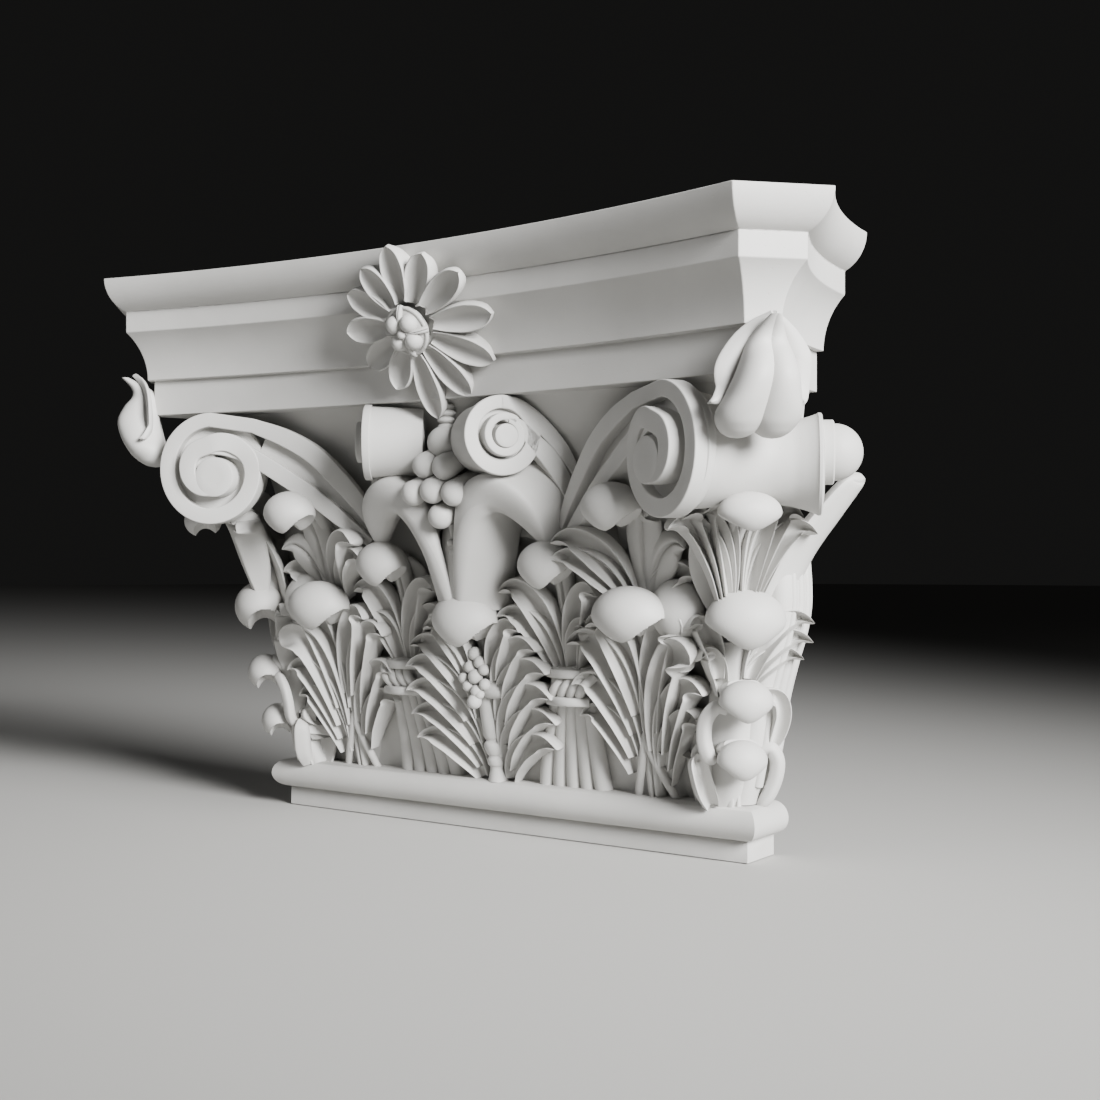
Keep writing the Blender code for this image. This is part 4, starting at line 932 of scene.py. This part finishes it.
flower = {
    "rim": ((0.5, -61.4, 118), (6, -78, 174), (36.4, -88.2, 188.9), (53.6, -55.2, 147.2)),
    "back": ((19, -36, 119), (17, -36, 182), (43, -37, 231), (64, -45, 151)),
    "bulge": (6, 6, 5.5, 5, 4, 3.5, 3, 2.5, 2, 2, 1.5),
    "thick": 8, "thickAt": ((0, 0.12, 0.35, 0.6, 0.85, 1), (0.5, 1, 1.35, 1.5, 1.2, 0.3)),
    # extra fullness under the part that hangs
    "roll": 9, "rollAt": ((0, 0.22, 0.4, 0.62, 0.85, 1), (0, 0.15, 0.65, 1, 0.9, 0.1)),
    "throat": ((0, -51, 142), (15, 13.5, 38)),
}


def makeFlower(f=flower, count=70, cols=33):
    # lip: straight line from its front rim to its back edge, bulged out by a sine, and thickened
    # both ways, with the edges rounded by a quarter circle
    rim, back = bezier(f["rim"], count), bezier(f["back"], count)
    along = unit(np.gradient(0.5 * (rim + back), axis=0))
    out = unit(np.cross(back - rim, along))[:, None]
    t = 0.5 - 0.5 * np.cos(np.linspace(0.0, math.pi, cols))
    bulge = np.interp(np.linspace(0, 1, count), np.linspace(0, 1, len(f["bulge"])), f["bulge"])
    middle = rim[:, None] + (back - rim)[:, None] * t[:, None]
    middle = middle + out * (bulge[:, None] * np.sin(math.pi * t) ** 0.8)[..., None]
    full = f["thick"] * taper(count, *f["thickAt"])[:, None]
    under = f["roll"] * taper(count, *f["rollAt"])[:, None]
    toEdge = np.linalg.norm(back - rim, axis=1)[:, None] * np.minimum(t, 1.0 - t)
    edge = np.sqrt(np.clip(1.0 - (1.0 - np.clip(toEdge / (0.5 * full), 0.0, 1.0)) ** 2, 0.0, 1.0))
    skin = middle + out * (0.5 * full * edge)[..., None]
    lining = middle - out * ((0.5 * full + under) * edge)[..., None]
    addPair("lip", [shell(np.concatenate((skin, lining[:, ::-1]), axis=1))])
    addPiece("throat", [ball(*f["throat"], rows=32, cols=48)])


makeFlower()


# grapes under the rosette, and the small bunch with its bud vase on the centre leaf

grapes = {
    # centre and radius; every berry is round in front and reaches back and up to the stem
    "berries": ((0.5, -71, 203, 8.4), (-6.6, -77, 191.4, 6.6), (5.4, -76, 190.4, 6.8),
                (-13.3, -78, 177.6, 6.5), (-1.3, -77.5, 178.6, 6.7), (11.2, -76, 177.2, 6.8),
                (0.6, -73.5, 165.8, 6.6)),
    "toward": (0.12, 1, 0.5), "length": 17, "narrowing": (0.995, 0.8),
    "stem": ((0, -54, 166), (0, -56, 226)), "stemRadii": (6, 10),
    "rings": 5, "ringAt": (0, -68, 211), "ringStep": 3.6, "ringRadii": (4.8, 4.8, 2.1),
    "tail": ((0, -60, 126), (0, -57, 138), (0.5, -59, 148), (1, -66, 162)),
    "tailRadius": 1.7, "beads": 5, "beadAt": (0.4, -60.5, 134), "beadStep": 4.6,
    "beadSag": 0.25, "beadRadii": (2.6, 2.6, 2),
}
smallBunch = {
    # sideways and up from the middle of the bunch, and radius
    "berries": ((-1.3, 11.8, 3.7), (2.4, 7.5, 3.5), (-3.8, 4.8, 3.4), (5.4, 3.8, 3.1), (0, 0, 4),
                (-7.6, -1, 2.9), (6.5, -3.8, 3.1), (1.6, -7.5, 3.4), (0.5, -12.9, 3.9),
                (-4.5, -5, 3), (3.6, -9, 2.6)),
    "at": (-1, -43, 82.5), "slope": 0.12,
    # heights and radii of the vase, on a foot that leans out
    "vase": ((26, 6), (30, 4.6), (33.5, 3.6), (35, 4.4), (37.5, 4.6), (39.6, 3.6), (41, 4.4),
             (44, 5.2), (46.5, 5), (48.2, 3.6), (50.5, 4.4), (56, 4.8), (62, 4.8), (68, 4.6),
             (73, 3.6), (76, 2)),
    "vaseFoot": (1, -25, 26), "vaseLean": 0.24,
    "spout": ((8, -38.5, 75.5), (8.2, 5, 4.6)),
    "curl": ((-2, -29, 48), (-8, -31, 54), (-8.5, -34, 66), (-7, -37, 72)),
    "curlRadii": (1.8, 1.4),
}


def makeGrapes(g=grapes, s=smallBunch):
    # berries as balls with tapered tails, rings and beads as flattened balls, vase as a lathed form
    shells, toward = [], unit(g["toward"])
    for *place, r in g["berries"]:
        at = np.array(place)
        shells.append(ball(at, (r, r, r), -toward, rows=28, cols=40))
        shells.append(tube(np.linspace(at, at + toward * g["length"], 8),
                           r * np.linspace(*g["narrowing"], 8), sides=40))
    shells.append(tube(np.linspace(*g["stem"], 12), np.linspace(*g["stemRadii"], 12)))
    for k in range(g["rings"]):
        shells.append(ball(np.array(g["ringAt"]) + up * g["ringStep"] * k, g["ringRadii"]))
    shells.append(tube(bezier(g["tail"], 20), g["tailRadius"], sides=10))
    for k in range(g["beads"]):
        at = np.array(g["beadAt"]) + (0.0, -g["beadSag"] * k * k, g["beadStep"] * k)
        shells.append(ball(at, g["beadRadii"], rows=12, cols=18))
    for x, z, r in s["berries"]:
        at = np.array(s["at"]) + (x, s["slope"] * z, z)
        shells.append(ball(at, (r, r, r), rows=16, cols=24))
    (z, r), turn = through(s["vase"], 90).T[..., None], circle(32)
    x, y, foot = s["vaseFoot"]
    y = y - s["vaseLean"] * (z - foot)
    shells.append(shell(np.stack((x + r * np.cos(turn), y + r * np.sin(turn), z * np.ones(32)),
                                 axis=-1)))
    shells.append(ball(*s["spout"]))
    shells.append(tube(bezier(s["curl"], 20), np.linspace(*s["curlRadii"], 20), sides=12))
    addPiece("grapes", shells)


makeGrapes()


# rosette: twelve cupped petals round a buttoned boss, leaning with the mouldings

rosette = {
    "centre": (0, -99.5, 258.6), "lean": 26.7, "start": 0.3, "sag": 3.5,
    "reach": (49, 46, 39, 40, 36, 38, 40, 39.5, 37, 50, 46, 47.5),
    "setBack": (5.5, 1.5, 4, 3, 1, 2, 1, 2.5, 0, 2.5, 5, 7),
    "width": 7.3, "widthAt": ((0.3, 0.45, 0.68, 0.86, 0.95, 1), (0.46, 0.78, 1, 0.84, 0.5, 0.04)),
    "depthAt": ((0.3, 0.6, 0.85, 1), (3.8, 4.8, 3, 0.8)),
    # backing: from and to behind the centre, and its share of the way with the radius
    "backing": (6, 26), "backingRadii": ((0, 13), (0.1, 15), (0.4, 19), (1, 26)),
    "boss": (0, -97.5, 257), "bossRadii": (11.8, 4.6, 12.2),
    "buds": 4, "budRadii": (4.5, 4.6, 4.5), "budOffset": 6.3, "budOut": 4,
    # straps between the buds: outwards and along, then half width, what the end adds, and depth
    "strap": ((5.6, 0), (5.4, 5), (4.6, 10), (1, 12.6)), "strapSize": (1, 0.9, 1.5),
    "rim": (11.4, 11.8), "rimOut": 1.4, "rimRadius": 1,
    "button": 2.3, "buttonOut": 6.4,
}
petalSection = through(((-1.0, 0.2), (-0.95, 0.65), (-0.85, 0.68), (-0.66, 0.1), (0.0, -0.45),
                        (0.66, 0.1), (0.85, 0.68), (0.95, 0.65), (1.0, 0.2), (0.9, -1.0),
                        (0.5, -2.4), (-0.5, -2.4), (-0.9, -1.0)), 52, closed=True)


def makeRosette(r=rosette):
    # petal: outline carried along a ray that sags by half a sine and falls back with the square
    lean = math.radians(r["lean"])
    out = np.array((0.0, -math.cos(lean), -math.sin(lean)))
    rise = np.array((0.0, -math.sin(lean), math.cos(lean)))
    right = np.array((1.0, 0.0, 0.0))
    centre, boss = np.array(r["centre"]), np.array(r["boss"])
    share = np.linspace(r["start"], 1.0, 30)
    widths, depths = r["width"] * blend(share, *r["widthAt"]), blend(share, *r["depthAt"])
    shells = []
    for k, (reach, back) in enumerate(zip(r["reach"], r["setBack"])):
        turn = 2.0 * math.pi * k / len(r["reach"])
        ray = right * math.cos(turn) + rise * math.sin(turn)
        sag = r["sag"] * np.sin(math.pi * share) + back * share ** 2
        path = centre + ray * (reach * share)[:, None] - out * sag[:, None]
        shells.append(sweep(path, petalSection, widths, depths, out=out))
    near, far = centre - out * r["backing"][0], centre - out * r["backing"][1]
    shells.append(spool(near, out, far, -out, r["backingRadii"], sides=48))
    shells.append(ball(boss, r["bossRadii"], out, rows=40, cols=60))
    half, wider, deep = r["strapSize"]
    half = half + wider * np.linspace(0.0, 1.0, 20) ** 2
    for k in range(r["buds"]):
        a = 2.0 * math.pi * k / r["buds"]
        b = a + math.pi / r["buds"]
        at = boss + (right * math.cos(b) + rise * math.sin(b)) * r["budOffset"] + out * r["budOut"]
        shells.append(ball(at, r["budRadii"], out, rows=24, cols=36))
        ray = right * math.cos(a) + rise * math.sin(a)
        strap = bezier([boss + out * lift + ray * along for lift, along in r["strap"]], 20)
        shells.append(sweep(strap, ribbed, half, deep, out=out))
    turn = np.linspace(0.0, 2.0 * math.pi, 61)[:, None]
    edge = right * r["rim"][0] * np.cos(turn) + rise * r["rim"][1] * np.sin(turn)
    shells.append(tube(boss + out * r["rimOut"] + edge, r["rimRadius"], sides=10, across=out))
    shells.append(ball(boss + out * r["buttonOut"], (r["button"],) * 3, out, rows=12, cols=18))
    addPiece("rosette", shells)


makeRosette()


# buds of two lobes that bend down over the drums from the horns of the abacus

bud = {
    "anchor": (210.4, -110.3), "azimuth": 45, "top": 246, "bottom": 195.7,
    # heights with the value at each
    "axis": ((196, 205, 214, 225, 236, 246), (-4.7, -4.2, -3, -1.5, -0.8, -0.6)),
    "offset": ((196, 199, 203, 207, 214, 222, 230, 236, 241, 246),
               (7.7, 7.7, 7.8, 7.6, 6.2, 5.1, 4, 3, 1.8, 0.5)),
    "wide": ((195.7, 196.2, 197.2, 199, 203, 207, 214, 222, 230, 236, 241, 246),
             (0.4, 3.4, 5.6, 7.9, 10.4, 10.9, 9.8, 8.4, 6.9, 5.8, 4.2, 1.9)),
    "deep": ((195.7, 196.2, 197.2, 199, 203, 212, 221, 229, 235, 240, 246),
             (0.4, 3.4, 5.8, 8.2, 10.2, 11.5, 11.5, 9.5, 7, 5, 2)),
    "reach": ((196, 199, 203, 212, 221, 229, 235, 240, 246),
              (-25, -24.5, -22.5, -18.7, -16.7, -17.9, -19.9, -17.2, -8.8)),
    # ribbon beside the bud: offset from the axis, height, reach and half width
    "ribbon": ((0.5, 247.5, -14, 1), (7, 242, -19, 3), (12.5, 234.8, -22, 4.5),
               (17.5, 225, -23.5, 5), (18.3, 216.5, -23.5, 4), (22, 212, -21.5, 2.5),
               (26, 210, -19.5, 0.4)),
    "ribbonThick": 1.6, "ribbonLeast": 0.3, "wallSide": 15,      # the one by the wall stays close
}


def makeBud(b=bud, rows=60, cols=40):
    # lobe: upright stack of ellipses whose place and half axes follow the height
    side, out = facing(b["azimuth"])
    start = np.array((*b["anchor"], 0.0))
    share = 0.5 - 0.5 * np.cos(np.linspace(0.0, math.pi, rows))
    z = b["bottom"] + (b["top"] - b["bottom"]) * share
    keys = ("axis", "offset", "wide", "deep", "reach")
    axis, offset, wide, deep, reach = (blend(z, *b[key])[:, None] for key in keys)
    turn = circle(cols)
    shells = []
    for sign in (-1.0, 1.0):
        s = (axis + sign * offset + wide * np.cos(turn))[..., None]
        o = (reach + deep * np.sin(turn))[..., None]
        shells.append(shell(start + side * s + out * o + up * z[:, None, None]))
        s, height, o, half = through(b["ribbon"], 50).T
        if sign > 0.0:
            s = np.minimum(s, b["wallSide"])
        path = start + side * (sign * s)[:, None] + out * o[:, None] + up * height[:, None]
        half = np.maximum(half, b["ribbonLeast"])
        shells.append(sweep(path, sheet, half, b["ribbonThick"], out=out))
    addPair("bud", shells)


makeBud()
print("ornament made")


# stage, lights and camera

studio = {"floor": "#AFAEAB", "floorRough": 0.8, "world": "#E6E5E2", "worldStrength": 0.012,
          "floorRadius": 6.0, "floorDrop": 0.0005}          # metres
lamps = (   # name, place in metres from the wall's middle, watts, size in metres, spread in degrees
    ("key", (1.5, -0.5, 0.62), 15.0, 0.7, 55.0),
    ("fill", (-0.7, -1.2, 0.6), 0.6, 0.9, 60.0),
)
lampAim = (0.0, -0.05, 0.02)
photoCamera = {"place": (0.48984, -0.67353, 0.14861), "azimuth": 35.106,    # metres, over the bed
               "lens": 50.0, "sensor": 36.0, "near": 0.02}


def makeStage(s=studio, sides=96):
    # round floor just under the bed, and a faint even sky
    turn, r = circle(sides), s["floorRadius"]
    height = np.full(sides, bedHeight - s["floorDrop"])
    ring = np.column_stack((r * np.cos(turn), r * np.sin(turn), height))
    mesh = bpy.data.meshes.new("floor")
    mesh.from_pydata(ring.tolist(), [], [list(range(sides))])
    floor = bpy.data.objects.new("floor", mesh)
    bpy.context.scene.collection.objects.link(floor)
    paint = bpy.data.materials.new("paleFloor")
    paint.use_nodes = True
    shader = paint.node_tree.nodes["Principled BSDF"]
    shader.inputs["Base Color"].default_value = linear(s["floor"])
    shader.inputs["Roughness"].default_value = s["floorRough"]
    mesh.materials.append(paint)
    world = bpy.data.worlds.new("studio")
    bpy.context.scene.world = world
    world.use_nodes = True
    background = world.node_tree.nodes["Background"]
    background.inputs["Color"].default_value = linear(s["world"])
    background.inputs["Strength"].default_value = s["worldStrength"]


def makeLights():
    # square lamps, each turned to face the aim
    for name, place, watts, size, spread in lamps:
        data = bpy.data.lights.new(name, "AREA")
        data.energy, data.size, data.shape = watts, size, "SQUARE"
        data.spread = math.radians(spread)
        lamp = bpy.data.objects.new(name, data)
        bpy.context.scene.collection.objects.link(lamp)
        lamp.location = place
        aim = unit(np.array(lampAim) - place)
        lamp.rotation_euler = (math.acos(-aim[2]), 0.0, math.atan2(-aim[0], aim[1]))


def makeCamera(c=photoCamera):
    # level, turned to the photo's side
    data = bpy.data.cameras.new("camera")
    data.lens, data.sensor_width, data.clip_start = c["lens"], c["sensor"], c["near"]
    camera = bpy.data.objects.new("camera", data)
    bpy.context.scene.collection.objects.link(camera)
    camera.location = (*c["place"][:2], c["place"][2] + bedHeight)
    camera.rotation_euler = (math.pi / 2, 0.0, math.radians(c["azimuth"]))
    bpy.context.scene.camera = camera


makeStage()
makeLights()
makeCamera()
print("stage set")
